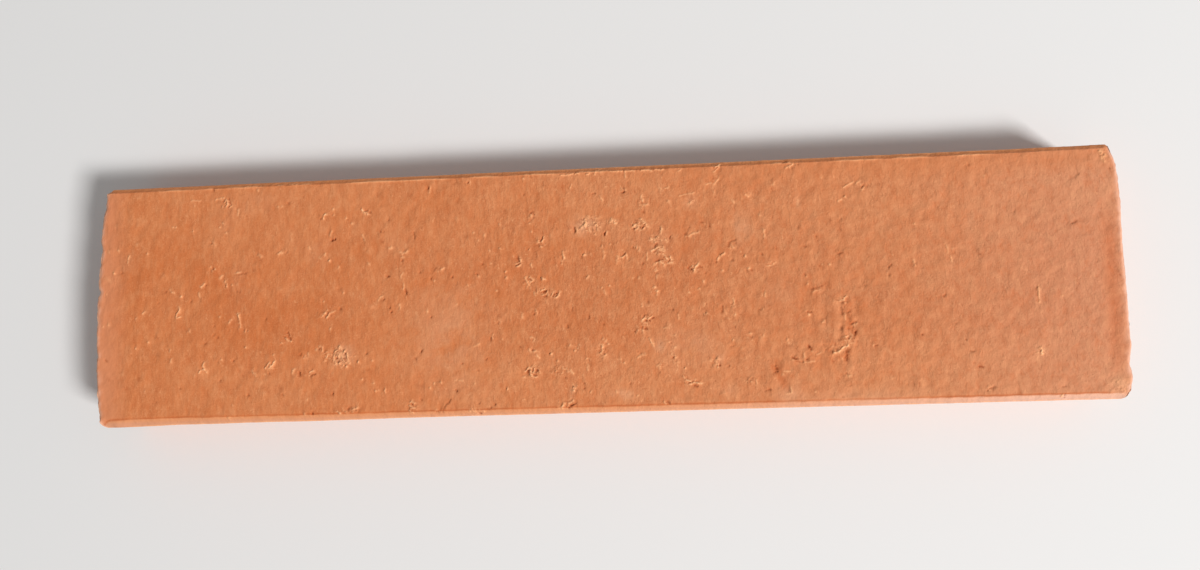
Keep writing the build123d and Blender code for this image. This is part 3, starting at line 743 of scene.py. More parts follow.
@dataclass
class FaceRelief:
    """The relief of the fired face: swells, leathery bumps, marks and crumbly patches."""

    headroom: float = 0.3
    style: MarkStyle = MarkStyle()
    edges: EdgeWearAndLight = EdgeWearAndLight()
    right_part: Pair = (-20.0, 60.0)
    rough_patch: tuple[float, float, float, float] = (52.0, -8.5, 6.0, 9.0)
    rough_gain: float = 0.9
    swells: tuple[Swell, Swell] = (Swell(0.12, 26.0), Swell(0.12, 7.0, 1.4, 70.0))
    leather: float = 0.18
    leather_gain: Share = Share(0.4, 0.45)
    leather_pitches: Pair = (2.0, 0.96)
    leather_turn: float = 84.0
    leather_stretch: Pair = (1.7, 1.15)
    leather_bend: float = 0.8
    fine_leather: float = 0.6
    pock_pitch: float = 1.6
    pock_level: float = 0.25
    pock_depth: float = 1.2
    drag: Share = Share(0.075, -0.05625)
    long_drag: Swell = Swell(1.0, 1.3, 2.4, 84.0)
    short_drag: Swell = Swell(0.6, 0.715, 1.6, 84.0)
    drag_bend: float = 0.5
    jitter: Swell = Swell(0.16, 0.9)
    grains: tuple[Swell, Swell] = (Swell(0.75, 0.46), Swell(0.5, 0.27))
    haze_blur: Swell = Swell(0.35, 2.5)
    crumb_reach: float = 1.6
    crumb_edge: Pair = (1.5, -1.1)
    crumb_pitch: float = 0.9
    crumb_patches: Pair = (0.6, 1.3)
    crumb_height: float = 0.14
    stray_marks: int = 50
    stray_reach: float = 108.0
    stray_crowding: float = 0.75
    stray_sides: Pair = (-24.0, 25.0)
    stray_heights: Pair = (0.14, -0.12)
    stray_sizes: Pair = (0.14, 0.26)
    noise_count: int = 6
    seed: int = 41
    marks: list[Mark] = field(default_factory=list)

    def __post_init__(self) -> None:
        """Gather the placed marks and scatter the stray ones."""
        self.noises = [Noise(self.seed + step) for step in range(self.noise_count)]
        for half_width, by_height in MARKS.items():
            for height, rows in by_height.items():
                self.marks += [Mark.read(row, half_width, height) for row in rows]
        draw = np.random.default_rng(self.seed)
        for _ in range(self.stray_marks):
            x = self.stray_reach * (1.0 - 2.0 * draw.uniform() ** self.stray_crowding)
            y = draw.uniform(*self.stray_sides)
            height = self.stray_heights[0 if draw.uniform() < 0.5 else 1]
            self.marks.append(Mark(((x, y),), draw.uniform(*self.stray_sizes), height))

    def _leather(self, x: Array, y: Array, stretch: float) -> Array:
        """Give the leathery bumps, drawn out along one direction.

        Args:
            x: Places along the brick, in mm.
            y: Places across it, in mm.
            stretch: How many times longer the bumps are than they are wide.

        Returns:
            The bumps, from about -1.5 to 1.5.
        """
        coarse, fine = self.leather_pitches
        large = self.noises[2].at(x, y, coarse, stretch, self.leather_turn)
        small = self.noises[3].at(x + self.leather_bend * large, y, fine, stretch, self.leather_turn)
        return large + self.fine_leather * small

    def _crumble(self, skin: Finish, x: Array, y: Array, grain: Array) -> None:
        """Break up the crumbly patches.

        Args:
            skin: The skin, changed in place.
            x: Places along the brick, in mm.
            y: Places across it, in mm.
            grain: The broken grain at each place.
        """
        for px, py, half_length, half_width, strength in PATCHES:
            off_x, off_y = (x - px) / half_length, (y - py) / half_width
            near = np.flatnonzero((np.abs(off_x) < self.crumb_reach) & (np.abs(off_y) < self.crumb_reach))
            off = np.hypot(off_x[near], off_y[near])
            island = self.noises[1].at(x[near], y[near], self.crumb_pitch)
            weight = strength * patchy(off, self.crumb_edge) * patchy(island, self.crumb_patches)
            skin.height[near] += weight * self.crumb_height * grain[near]
            lift(skin.crumb, weight, near)

    def measure(self, x: Array, y: Array) -> Finish:
        """Give the relief of the face, its wear and its painted highlights and shade.

        Args:
            x: Places along the brick, in mm.
            y: Places across it, in mm.

        Returns:
            The finish, with a height that is at most the headroom.
        """
        noises = self.noises
        skin = Finish.blank(x.size)
        px, py, long, wide = self.rough_patch
        rough = 1.0 + self.rough_gain * bell(x - px, long) * bell(y - py, wide)
        to_right = ease((x - self.right_part[0]) / self.right_part[1])
        skin.height += pile(0.0, self.swells, noises, x, y)
        bumps = (1.0 - to_right) * self._leather(x, y, self.leather_stretch[0])
        bumps += to_right * self._leather(x, y, self.leather_stretch[1])
        pocks = self.pock_depth * np.minimum(noises[1].at(x, y, self.pock_pitch) + self.pock_level, 0.0)
        skin.height += self.leather * rough * self.leather_gain.of(to_right) * (bumps + pocks)
        drags = self.long_drag.of(noises[4], x + self.drag_bend * bumps, y)
        drags += self.short_drag.of(noises[5], x, y)
        skin.height += self.drag.of(to_right) * drags
        wx, wy = x + self.jitter.of(noises[4], x, y), y + self.jitter.of(noises[5], x, y)
        grain = pile(0.0, self.grains, noises[4:], x, y)
        for mark in self.marks:
            self.style.draw(skin, mark, wx, wy, grain)
        self._crumble(skin, x, y, grain)
        blur = 1.0 + self.haze_blur.of(noises[1], x, y)
        for px, py, half_length, half_width, strength in SMUDGES:
            off = ((x - px) / half_length) ** 2 + ((y - py) / half_width) ** 2
            lift(skin.haze, strength * np.exp(-off * blur))
        self.edges.wear_and_shade_creases(skin, x, y, noises)
        high = skin.height > 0.0
        skin.height[high] = self.headroom * np.tanh(skin.height[high] / self.headroom)
        return skin


@dataclass
class CadShape:
    """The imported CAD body, read by rays and by a cut at half its thickness."""

    node: bpy.types.Object
    insets: tuple[float, ...] = (0.0, 0.02, 0.06, 0.16, 0.3, 0.45, 0.6, 0.8)
    upward: float = 0.5
    ray_start: float = 5.0

    def __post_init__(self) -> None:
        """Make the ray tree and cut the outline."""
        mesh = self.node.data
        points = np.empty(len(mesh.vertices) * 3)
        mesh.vertices.foreach_get("co", points)
        self._points = points.reshape(-1, 3) / MM
        self._faces = [tuple(face.vertices) for face in mesh.polygons]
        self._tree = BVHTree.FromPolygons([Vector(p) for p in self._points], self._faces)
        self.low, self.high = self._points.min(axis=0), self._points.max(axis=0)
        self.outline = self._cut(0.5 * (self.low[2] + self.high[2]))

    def _cut(self, height: float) -> Array:
        """Cut the mesh level and give the line of the cut.

        Args:
            height: The height of the cut in mm.

        Returns:
            The corners of the closed line, one row each, anticlockwise round the middle.
        """
        crossing: set[Pair] = set()
        for face in self._faces:
            for first, second in zip(face, face[1:] + face[:1]):
                p, q = self._points[first], self._points[second]
                if (p[2] - height) * (q[2] - height) < 0.0:
                    at = p + (q - p) * (height - p[2]) / (q[2] - p[2])
                    crossing.add((round(float(at[0]), 4), round(float(at[1]), 4)))
        return np.array(sorted(crossing, key=lambda at: math.atan2(at[1], at[0])))

    def top(self, x: Array, y: Array) -> Array:
        """Give the height of the CAD body's upper side.

        Args:
            x: Places along the brick, in mm.
            y: Places across it, in mm.

        Returns:
            The heights in mm.
        """
        down = Vector((0.0, 0.0, -1.0))
        above = float(self.high[2]) + self.ray_start
        heights = np.empty(x.size)
        for index, (px, py) in enumerate(zip(x.tolist(), y.tolist())):
            off = math.hypot(px, py) or 1.0
            for step in self.insets:
                start = Vector((px - step * px / off, py - step * math.copysign(1.0, py), above))
                hit, normal, _, _ = self._tree.ray_cast(start, down)
                if hit is not None and hit.z > 0.5 * self.high[2] and abs(normal.z) > self.upward:
                    heights[index] = hit.z
                    break
            else:
                raise ValueError(f"nothing of the brick is under {px:.2f}, {py:.2f}")
        return heights


@dataclass(frozen=True)
class Fray:
    """How an edge is frayed: its depth in mm, and the level, the limit and the swells of its
    notches. Each swell has a lane of the noise to itself, which keeps it apart from the others."""

    depth: float
    level: float
    most: float
    swells: tuple[tuple[float, Swell], ...]

    def of(self, noise: Noise, at: Array, lane: float) -> Array:
        """Give how deep the edge is frayed at places along it."""
        notches = (swell.of(noise, at, np.full(at.size, lane + own)) for own, swell in self.swells)
        return self.depth * np.clip(self.level + sum(notches), 0.0, self.most)


END_NOTCHES = ((0.0, Swell(0.55, 1.7)), (50.0, Swell(0.4, 0.7)), (80.0, Swell(0.5, 6.0)))
SIDE_NOTCHES = ((110.0, Swell(0.5, 2.6)), (140.0, Swell(0.3, 0.9)))


@dataclass
class Plan:
    """The brick seen from above: a net of columns and rows bent to the outline of the CAD body.

    Edges are told apart by an axis, 0 for the front and the back, which run along X, and 1 for
    the ends, and by a side of the brick, -1 for the front or the left and 1 for the back or the
    right.
    """

    shape: CadShape
    columns: int = 372
    rows: int = 100
    fine: int = 4
    front: float = -26.0
    back: float = 26.5
    end_insets: Pair = (0.5, 0.3)
    reaches: Pair = (9.0, 7.0)
    fray_reach: float = 2.2
    end_frays: tuple[Fray, Fray] = (Fray(0.12, 0.25, 1.5, END_NOTCHES), Fray(0.08, 0.25, 1.5, END_NOTCHES))
    side_fray: Fray = Fray(0.06, 0.3, 1.3, SIDE_NOTCHES)
    lane: float = 500.0
    corner_reach: float = 2.5
    seed: int = 19
    edge_steps: tuple[float, ...] = (0.11, 0.26, 0.46, 0.72, 1.1, 1.6)
    front_steps: tuple[float, ...] = (0.1, 0.32, 0.68, 1.02, 1.26, 1.4, 1.54, 1.76, 2.1, 2.55)
    back_steps: tuple[float, ...] = (0.1, 0.3, 0.6, 0.86, 1.0, 1.1, 1.2, 1.34, 1.6, 2.0)

    def __post_init__(self) -> None:
        """Find the outline's four corners and sides, and space the columns and rows."""
        self._noise = Noise(self.seed)
        self.left = float(self.shape.low[0]) + self.end_insets[0]
        self.right = float(self.shape.high[0]) - self.end_insets[1]
        self._limits = ((self.left, self.right), (self.front, self.back))
        line = self.shape.outline
        index = {(sx, sy): int(np.argmax(line @ np.array([sx, sy]))) for sx in (-1, 1) for sy in (-1, 1)}
        self._corner = {key: line[value] for key, value in index.items()}

        def stretch(first: tuple[int, int], last: tuple[int, int]) -> Array:
            """Give the outline from one of its corners on to another."""
            return np.roll(line, -index[first], axis=0)[:(index[last] - index[first]) % len(line) + 1]

        self._edges = {
            (0, -1): stretch((-1, -1), (1, -1)), (1, 1): stretch((1, -1), (1, 1)),
            (0, 1): stretch((1, 1), (-1, 1))[::-1], (1, -1): stretch((-1, 1), (-1, -1))[::-1]}
        self.across = self._space(self.left, self.right, self.edge_steps, self.edge_steps, self.columns)
        self.along = self._space(self.front, self.back, self.front_steps, self.back_steps, self.rows)

    @staticmethod
    def _space(low: float, high: float, after: tuple[float, ...], before: tuple[float, ...],
               count: int) -> Array:
        """Space lines round so many cells: by steps in from the first and last, and even between."""
        middle = np.linspace(low + after[-1], high - before[-1], count + 1 - len(after) - len(before))
        return np.concatenate([[low], low + np.array(after[:-1]), middle,
                               high - np.array(before[:-1])[::-1], [high]])

    def _fade(self, at: Array, axis: int, reach: float) -> dict[int, Array]:
        """Fade from 1 at the two limits of an axis, -1 and 1, to 0 at the reach from them."""
        low, high = self._limits[axis]
        return {-1: 1.0 - ease((at - low) / reach), 1: 1.0 - ease((high - at) / reach)}

    def _pull(self, at: Array, axis: int, side: int) -> tuple[Array, Array]:
        """Give how far an edge of the even net is pulled to the outline.

        Args:
            at: Places along that edge.
            axis: The axis that the edge runs along.
            side: The side of the brick that it is on.

        Returns:
            The pull along the edge and the pull across it.
        """
        fade = self._fade(at, axis, self.reaches[axis])
        moved = at
        for end, limit in zip((-1, 1), self._limits[axis]):
            corner = self._corner[(end, side) if axis == 0 else (side, end)]
            moved = moved + (corner[axis] - limit) * fade[end]
        line = self._edges[axis, side]
        edge = self._limits[1 - axis][0 if side < 0 else 1]
        return moved - at, np.interp(moved, line[:, axis], line[:, 1 - axis]) - edge

    def bend(self, x: Array, y: Array) -> tuple[Array, Array]:
        """Bend places on the even net so that its edges lie on the outline.

        Args:
            x: Places along the even net.
            y: Places across it.

        Returns:
            The bent places along and across.
        """
        near = (self._fade(x, 0, self.reaches[0]), self._fade(y, 1, self.reaches[1]))
        bent = [x.copy(), y.copy()]
        for side in (-1, 1):
            for axis, at in ((1, y), (0, x)):
                along, across = self._pull(at, axis, side)
                bent[axis] += near[1 - axis][side] * along
                bent[1 - axis] += near[1 - axis][side] * across
        for sides, point in self._corner.items():
            weight = near[0][sides[0]] * near[1][sides[1]]
            for axis, side in enumerate(sides):
                bent[axis] -= weight * (point[axis] - self._limits[axis][0 if side < 0 else 1])
        return bent[0], bent[1]

    def fray(self, x: Array, y: Array) -> tuple[Array, Array]:
        """Give how far the worn edges draw places of the even net inward.

        Args:
            x: Places along the even net.
            y: Places across it.

        Returns:
            The pull along X and along Y.
        """
        ends, sides = self._fade(x, 0, self.fray_reach), self._fade(y, 1, self.fray_reach)
        pull_x, pull_y = np.zeros(x.size), np.zeros(x.size)
        for side, end_fray in zip((-1, 1), self.end_frays):
            pull_x -= side * ends[side] * end_fray.of(self._noise, y, -side * self.lane)
            pull_y -= side * sides[side] * self.side_fray.of(self._noise, x, -side * self.lane)
        end, side = self._fade(x, 0, self.corner_reach), self._fade(y, 1, self.corner_reach)
        kept = 1.0 - np.maximum(end[-1], end[1]) * np.maximum(side[-1], side[1])
        return pull_x * kept, pull_y * kept

    def place(self, column: Array, row: Array) -> NetPoints:
        """Give the places of fine net points, bent to the outline.

        Args:
            column: Fine column numbers.
            row: Fine row numbers.

        Returns:
            The points.
        """
        x = np.interp(column / self.fine, np.arange(self.columns + 1), self.across)
        y = np.interp(row / self.fine, np.arange(self.rows + 1), self.along)
        from_end = np.minimum(x - self.left, self.right - x)
        from_side = np.minimum(y - self.front, self.back - y)
        bent_x, bent_y = self.bend(x, y)
        pull_x, pull_y = self.fray(x, y)
        for px, py, reach_x, reach_y, shift_x, shift_y in NUDGES:
            near = bell(bent_x - px, reach_x) * bell(bent_y - py, reach_y)
            pull_x += shift_x * near
            pull_y += shift_y * near
        return NetPoints(bent_x, bent_y, pull_x, pull_y, from_end, from_side)


class Sheet(Enum):
    """The parts of the skin that are laid out side by side for the baked textures.

    Each value is the left and lower corner in texture pixels, the pixels per mm, and whether
    the sheet stands on its end.
    """

    FACE_LEFT = (6, 6, 6.9, False)
    FACE_RIGHT = (6, 386, 6.9, False)
    BACK = (6, 768, 4.5, False)
    FRONT_SIDE = (786, 6, 3.35, True)
    BACK_SIDE = (846, 6, 3.35, True)
    LEFT_END = (906, 6, 6.6, True)
    RIGHT_END = (906, 384, 6.6, True)

    def lay(self, along: Array, across: Array) -> Array:
        """Lay places of this sheet, in mm from its own corner, out on the texture.

        Args:
            along: Places along its long side.
            across: Places across it.

        Returns:
            One texture place a row.
        """
        left, low, scale, standing = self.value
        u, v = (across, along) if standing else (along, across)
        return np.stack([left + scale * u, low + scale * v], axis=-1) / TEXTURE_PIXELS


Corner = tuple[int, Array]


class Border:
    """The upper side's border, walked once round from the front left corner.

    It knows the way inward at each place, how far along it the place is and how far that belongs
    to a cut end, 0 to 1.
    """

    SHEETS = (Sheet.FRONT_SIDE, Sheet.RIGHT_END, Sheet.BACK_SIDE, Sheet.LEFT_END)
    END_SLOPE = (0.35, 0.3)

    def __init__(self, plan: Plan, number: Array, points: Array) -> None:
        """Walk round the border.

        Args:
            plan: The brick seen from above.
            number: The point number at each fine net place, or -1 where there is none.
            points: The points of the upper side.
        """
        walk = walk_round(0, 0, plan.columns * plan.fine, plan.rows * plan.fine)
        self.stretches = [[number[place] for place in walk[k:k + plan.fine] if number[place] >= 0]
                          for k in range(0, len(walk), plan.fine)]
        self.points = points[[stretch[0] for stretch in self.stretches]]
        after = np.roll(self.points, -1, axis=0)
        ahead = after - np.roll(self.points, 1, axis=0)
        inward = np.stack([-ahead[:, 1], ahead[:, 0]], axis=1)
        self.inward = inward / np.linalg.norm(inward, axis=1)[:, None]
        self.end = ease((np.abs(self.inward[:, 0]) - self.END_SLOPE[0]) / self.END_SLOPE[1])
        steps = np.linalg.norm((after - self.points)[:, :2], axis=1)
        self.run = np.concatenate([[0.0], np.cumsum(steps)])
        self._starts = np.cumsum([0, plan.columns, plan.rows, plan.columns, plan.rows])

    def corner(self, edge: int, number: int, run: float, height: float) -> Corner:
        """Lay a face's corner out on the sheet of the wall that an edge of the border is in."""
        wall = int(np.searchsorted(self._starts, edge, side="right")) - 1
        return number, self.SHEETS[wall].lay(run - self.run[self._starts[wall]], height)


@dataclass
class ClaySlip:
    """The brick slip's whole skin: the face, its two bevels, the four edges and the back.

    The paleness of the walls' upper edge and the ends' rim, partly rubbed and partly a painted
    highlight along the arrises, are a strength and a reach in mm.
    """

    shape: CadShape
    plan: Plan
    relief: FaceRelief
    stroke_step: float = 0.3
    small: float = 0.3
    fine_margin: float = 0.14
    coarse_margin: Pair = (0.3, 1.2)
    patch_turns: int = 16
    patch_rings: tuple[float, ...] = (0.0, 0.4, 0.8)
    patch_margin: float = 0.3
    sheet_overlap: float = 0.3
    wall_rings: int = 18
    upper_rings: Pair = (0.5, 1.5)
    bed_round: float = 0.5
    bed_angles: tuple[float, ...] = (30.0, 60.0, 90.0)
    wall_fade: float = 1.0
    foot_fade: Pair = (0.6, 1.2)
    side_relief: float = 0.12
    side_level: float = 0.5
    side_swells: tuple[Swell, Swell] = (Swell(0.5, 1.3, 14.0), Swell(0.25, 2.2))
    end_relief: float = 0.26
    end_level: float = 0.45
    end_swells: tuple[Swell, Swell] = (Swell(0.5, 2.0, 1.6, 75.0), Swell(0.4, 1.1))
    most_worn: float = 1.2
    # Painted shade in the torn ends, darkest where they are pushed in deepest
    torn_shade: Share = Share(-0.6, 1.0)
    torn_share: float = 0.3
    side_pale: Pair = (0.5, 0.35)
    end_rim: Pair = (0.9, 0.5)
    back_columns: int = 93
    back_rows: int = 25
    noise_count: int = 4
    seed: int = 77

    def __post_init__(self) -> None:
        """Start with nothing made."""
        self._points: list[Array] = []
        self._count = 0
        self._skins: list[Finish] = []
        self._corners: list[Array] = []
        self._sizes: list[Array] = []
        self._places: list[Array] = []
        self._noises = [Noise(self.seed + step) for step in range(self.noise_count)]

    def _add_points(self, points: Array, skin: Finish) -> int:
        """Keep some points of the skin.

        Args:
            points: Their places, one row each.
            skin: Their finish.

        Returns:
            The number of the first of them.
        """
        first = self._count
        self._points.append(points)
        self._skins.append(skin)
        self._count += len(points)
        return first

    def _add_faces(self, faces: Array, places: Array) -> None:
        """Keep faces that all have the same number of corners.

        Args:
            faces: The numbers of their points, one row each.
            places: The texture place of each corner, in the same order.
        """
        self._corners.append(faces.reshape(-1))
        self._sizes.append(np.full(len(faces), faces.shape[1]))
        self._places.append(places.reshape(-1, 2))

    def _add_loops(self, loops: list[list[Corner]]) -> None:
        """Keep faces that are given corner by corner.

        Args:
            loops: Each face's corners, in order.
        """
        by_size: dict[int, list[list[Corner]]] = {}
        for loop in loops:
            by_size.setdefault(len(loop), []).append(loop)
        for same in by_size.values():
            self._add_faces(np.array([[number for number, _ in loop] for loop in same]),
                            np.array([[place for _, place in loop] for loop in same]))

    def _levels(self) -> Array:
        """Choose how finely each cell of the face is cut, from 0 to 2.

        Returns:
            The level of each column and row.
        """
        plan = self.plan
        level = np.zeros((plan.columns, plan.rows), dtype=int)
        mid_x = 0.5 * (plan.across[1:] + plan.across[:-1])
        mid_y = 0.5 * (plan.along[1:] + plan.along[:-1])

        def raise_to(value: int, x: float, y: float, reach: float) -> None:
            """Cut the cells round a place at least so finely."""
            lift(level, value, np.ix_(np.abs(mid_x - x) < reach, np.abs(mid_y - y) < reach))

        margin, share = self.coarse_margin
        for mark in self.relief.marks:
            for (ax, ay), (bx, by) in zip(mark.points, mark.points[1:] or mark.points):
                for t in np.linspace(0.0, 1.0, 1 + int(math.hypot(bx - ax, by - ay) / self.stroke_step)):
                    x, y = ax + t * (bx - ax), ay + t * (by - ay)
                    raise_to(1, x, y, share * mark.half_width + margin)
                    if mark.half_width < self.small:
                        raise_to(2, x, y, mark.half_width + self.fine_margin)
        for x, y, half_length, half_width, _ in PATCHES:
            for turn in np.linspace(0.0, 2.0 * math.pi, self.patch_turns, endpoint=False):
                for part in self.patch_rings:
                    right, up = part * half_length * math.cos(turn), part * half_width * math.sin(turn)
                    raise_to(1, x + right, y + up, self.patch_margin)
        return level

    def _cut_cells(self) -> tuple[Array, Array, Array]:
        """Cut the face's cells, more finely where there is a mark.

        Returns:
            Which fine net places have a point, the cells with points at their corners alone and
            the cells with more. A cell is its fine column and row and its size.
        """
        plan, fine = self.plan, self.plan.fine
        level = self._levels()
        cells = []
        for value in range(level.max() + 1):
            columns, rows = np.nonzero(level == value)
            step = fine >> value
            for a in range(0, fine, step):
                for b in range(0, fine, step):
                    cells.append(np.stack([columns * fine + a, rows * fine + b,
                                           np.full(columns.size, step)], axis=1))
        cells = np.concatenate(cells)
        used = np.zeros((plan.columns * fine + 1, plan.rows * fine + 1), dtype=bool)
        for da, db in CELL_CORNERS:
            used[cells[:, 0] + da * cells[:, 2], cells[:, 1] + db * cells[:, 2]] = True
        crowded = np.zeros(len(cells), dtype=bool)
        for offset in range(1, fine):
            inner = cells[:, 2] > offset
            a, b, step = cells[inner].T
            found = (used[a + offset, b] | used[a + offset, b + step]
                     | used[a, b + offset] | used[a + step, b + offset])
            crowded[np.flatnonzero(inner)[found]] = True
        middle = cells[crowded]
        used[middle[:, 0] + middle[:, 2] // 2, middle[:, 1] + middle[:, 2] // 2] = True
        return used, cells[~crowded], middle

    def _make_face(self) -> Array:
        """Make the upper side.

        Returns:
            The point number at each fine net place, or -1 where there is none.
        """
        used, plain, crowded = self._cut_cells()
        columns, rows = np.nonzero(used)
        net = self.plan.place(columns.astype(float), rows.astype(float))
        skin = self.relief.measure(net.x, net.y)
        self.relief.edges.rub_and_light_rims(skin, net, self.relief.noises[2])
        z = self.shape.top(net.x, net.y) - self.relief.headroom + skin.height
        points = np.stack([net.x + net.pull_x, net.y + net.pull_y, z], axis=1)
        number = np.full(used.shape, -1, dtype=int)
        number[columns, rows] = self._add_points(points, skin) + np.arange(len(points))
        half = self.plan.columns // 2 * self.plan.fine

        def add(faces: Array, column: Array) -> None:
            """Keep faces of the upper side, laid out on its two sheets by their column."""
            x, y = points[faces, 0], points[faces, 1] - self.shape.low[1]
            on_left = Sheet.FACE_LEFT.lay(x - self.shape.low[0], y)
            on_right = Sheet.FACE_RIGHT.lay(x + self.sheet_overlap, y)
            self._add_faces(faces, np.where((column < half)[:, None, None], on_left, on_right))

        quads = np.stack([number[plain[:, 0] + da * plain[:, 2], plain[:, 1] + db * plain[:, 2]]
                          for da, db in CELL_CORNERS], axis=1)
        add(quads, plain[:, 0])
        fans, column = [], []
        for a, b, step in crowded.tolist():
            ring = [number[place] for place in walk_round(a, b, step, step) if number[place] >= 0]
            hub = number[a + step // 2, b + step // 2]
            fans += [(hub, first, second) for first, second in zip(ring, ring[1:] + ring[:1])]
            column += [a] * len(ring)
        add(np.array(fans), np.array(column))
        LOG.info("face: %d points", len(points))
        return number

    def _add_ring(self, border: Border, keep: Array, height: Array, pulled: float = 0.0) -> int:
        """Add one ring of wall points.

        Args:
            border: The border that the walls hang from.
            keep: The places of the border that the ring has points under.
            height: Their heights.
            pulled: How far the ring is drawn inward.

        Returns:
            The first one's number.
        """
        end, depth, run = border.end[keep], border.points[keep, 2] - height, border.run[keep]
        drag = pile(self.side_level, self.side_swells, self._noises, run, height)
        torn = pile(self.end_level, self.end_swells, self._noises[2:], run, height)
        worn = (1.0 - end) * self.side_relief * np.clip(drag, 0.0, self.most_worn)
        worn += end * self.end_relief * np.clip(torn, 0.0, self.most_worn)
        fade = ease(depth / self.wall_fade) * ease((height + self.foot_fade[0]) / self.foot_fade[1])
        shift = (worn * fade + pulled)[:, None] * border.inward[keep]
        skin = Finish.blank(len(keep))
        skin.end, skin.side = end, 1.0 - end
        # Painted shade in the torn end's deepest hollows
        skin.dark = self.torn_share * self.torn_shade.of(torn) * end
        # A pale upper edge on the long walls and a pale rim on the ends, partly rubbed and partly a painted
        # highlight along the arrises
        skin.pale = self.side_pale[0] * bell(depth, self.side_pale[1]) * (1.0 - end)
        skin.rim = self.end_rim[0] * bell(depth, self.end_rim[1]) * end
        return self._add_points(np.column_stack([border.points[keep, :2] + shift, height]), skin)

    def _make_walls(self, number: Array) -> Array:
        """Make the four walls down to the rounded edge of the back.

        Args:
            number: The point numbers of the face's fine net.

        Returns:
            The point numbers of the lowest ring.
        """
        border = Border(self.plan, number, self._points[0])
        corner, run, z = border.corner, border.run, border.points[:, 2]
        count, half = len(z), len(z) // 2
        drop = (z - self.bed_round) / self.wall_rings
        upper = z - self.upper_rings[0] * drop
        first = self._add_ring(border, np.arange(count), upper)
        loops = []
        for k in range(count):
            after = (k + 1) % count
            top = border.stretches[k] + border.stretches[after][:1]
            spots = [corner(k, point, run[k] + t * (run[k + 1] - run[k]), z[k] + t * (z[after] - z[k]))
                     for point, t in zip(top, np.linspace(0.0, 1.0, len(top)))]
            low = [corner(k, first + k, run[k], upper[k]),
                   corner(k, first + after, run[k + 1], upper[after])]
            if len(top) == 2:
                loops.append([spots[0], *low, spots[1]])
            else:
                loops.append([spots[-1], *low])
                loops += [[right, left, low[0]] for left, right in zip(spots, spots[1:])]
        self._add_loops(loops)
        keep = np.arange(0, count, 2)
        height = z[keep] - self.upper_rings[1] * drop[keep]
        ring = self._add_ring(border, keep, height)
        loops = []
        for k in range(half):
            after, edge = (k + 1) % half, 2 * k
            a, b, c = (corner(edge, first + at % count, run[at], upper[at % count])
                       for at in range(edge, edge + 3))
            p = corner(edge, ring + k, run[edge], height[k])
            q = corner(edge, ring + after, run[edge + 2], height[after])
            loops += [[a, p, b], [b, p, q], [b, q, c]]
        self._add_loops(loops)
        levels = [(0.0, height + (self.bed_round - height) * t)
                  for t in np.linspace(0.0, 1.0, self.wall_rings - 1)[1:]]
        for angle in np.radians(self.bed_angles):
            levels.append((self.bed_round * (1.0 - math.cos(angle)),
                           np.full(half, self.bed_round * (1.0 - math.sin(angle)))))
        for pulled, lower in levels:
            below = self._add_ring(border, keep, lower, pulled)
            loops = []
            for k in range(half):
                after, edge = (k + 1) % half, 2 * k
                loops.append([corner(edge, ring + k, run[edge], height[k]),
                              corner(edge, below + k, run[edge], lower[k]),
                              corner(edge, below + after, run[edge + 2], lower[after]),
                              corner(edge, ring + after, run[edge + 2], height[after])])
            self._add_loops(loops)
            ring, height = below, lower
        LOG.info("walls: %d rings", len(levels) + 2)
        return ring + np.arange(half)

    def _make_back(self, ring: Array) -> None:
        """Close the flat back.

        Args:
            ring: The point numbers round its edge, from the front left corner on.
        """
        wide, deep = self.plan.columns // 2, self.plan.rows // 2
        number = np.full((wide + 1, deep + 1), -1, dtype=int)
        number[tuple(np.transpose(walk_round(0, 0, wide, deep)))] = ring
        points = np.concatenate(self._points)[:, :2]
        edges = (number[:, 0], number[:, -1], number[0], number[-1])
        front, back, left, right = (points[edge] for edge in edges)
        columns = np.linspace(0, wide, self.back_columns + 1).round().astype(int)
        rows = np.linspace(0, deep, self.back_rows + 1).round().astype(int)
        u, v = (columns / wide)[:, None, None], (rows / deep)[None, :, None]
        grid = (front[columns][:, None] * (1.0 - v) + back[columns][:, None] * v
                + left[rows][None] * (1.0 - u) + right[rows][None] * u
                - front[0] * (1.0 - u) * (1.0 - v) - front[-1] * u * (1.0 - v)
                - back[0] * (1.0 - u) * v - back[-1] * u * v)
        inside = grid[1:-1, 1:-1]
        flat = np.column_stack([inside.reshape(-1, 2), np.zeros(inside[..., 0].size)])
        first = self._add_points(flat, Finish.blank(len(flat)))
        number[np.ix_(columns[1:-1], rows[1:-1])] = first + np.arange(len(flat)).reshape(inside.shape[:2])
        low, high = self.shape.low, self.shape.high
        points = np.concatenate([points, inside.reshape(-1, 2)])
        places = Sheet.BACK.lay(high[0] - points[:, 0], points[:, 1] - low[1])
        loops = []
        for a, b in zip(columns.tolist(), columns[1:].tolist()):
            for c, d in zip(rows.tolist(), rows[1:].tolist()):
                loop = [number[place] for place in walk_round(a, c, b - a, d - c) if number[place] >= 0]
                loops.append([(point, places[point]) for point in reversed(loop)])
        self._add_loops(loops)
        LOG.info("back: %d inner points", len(flat))

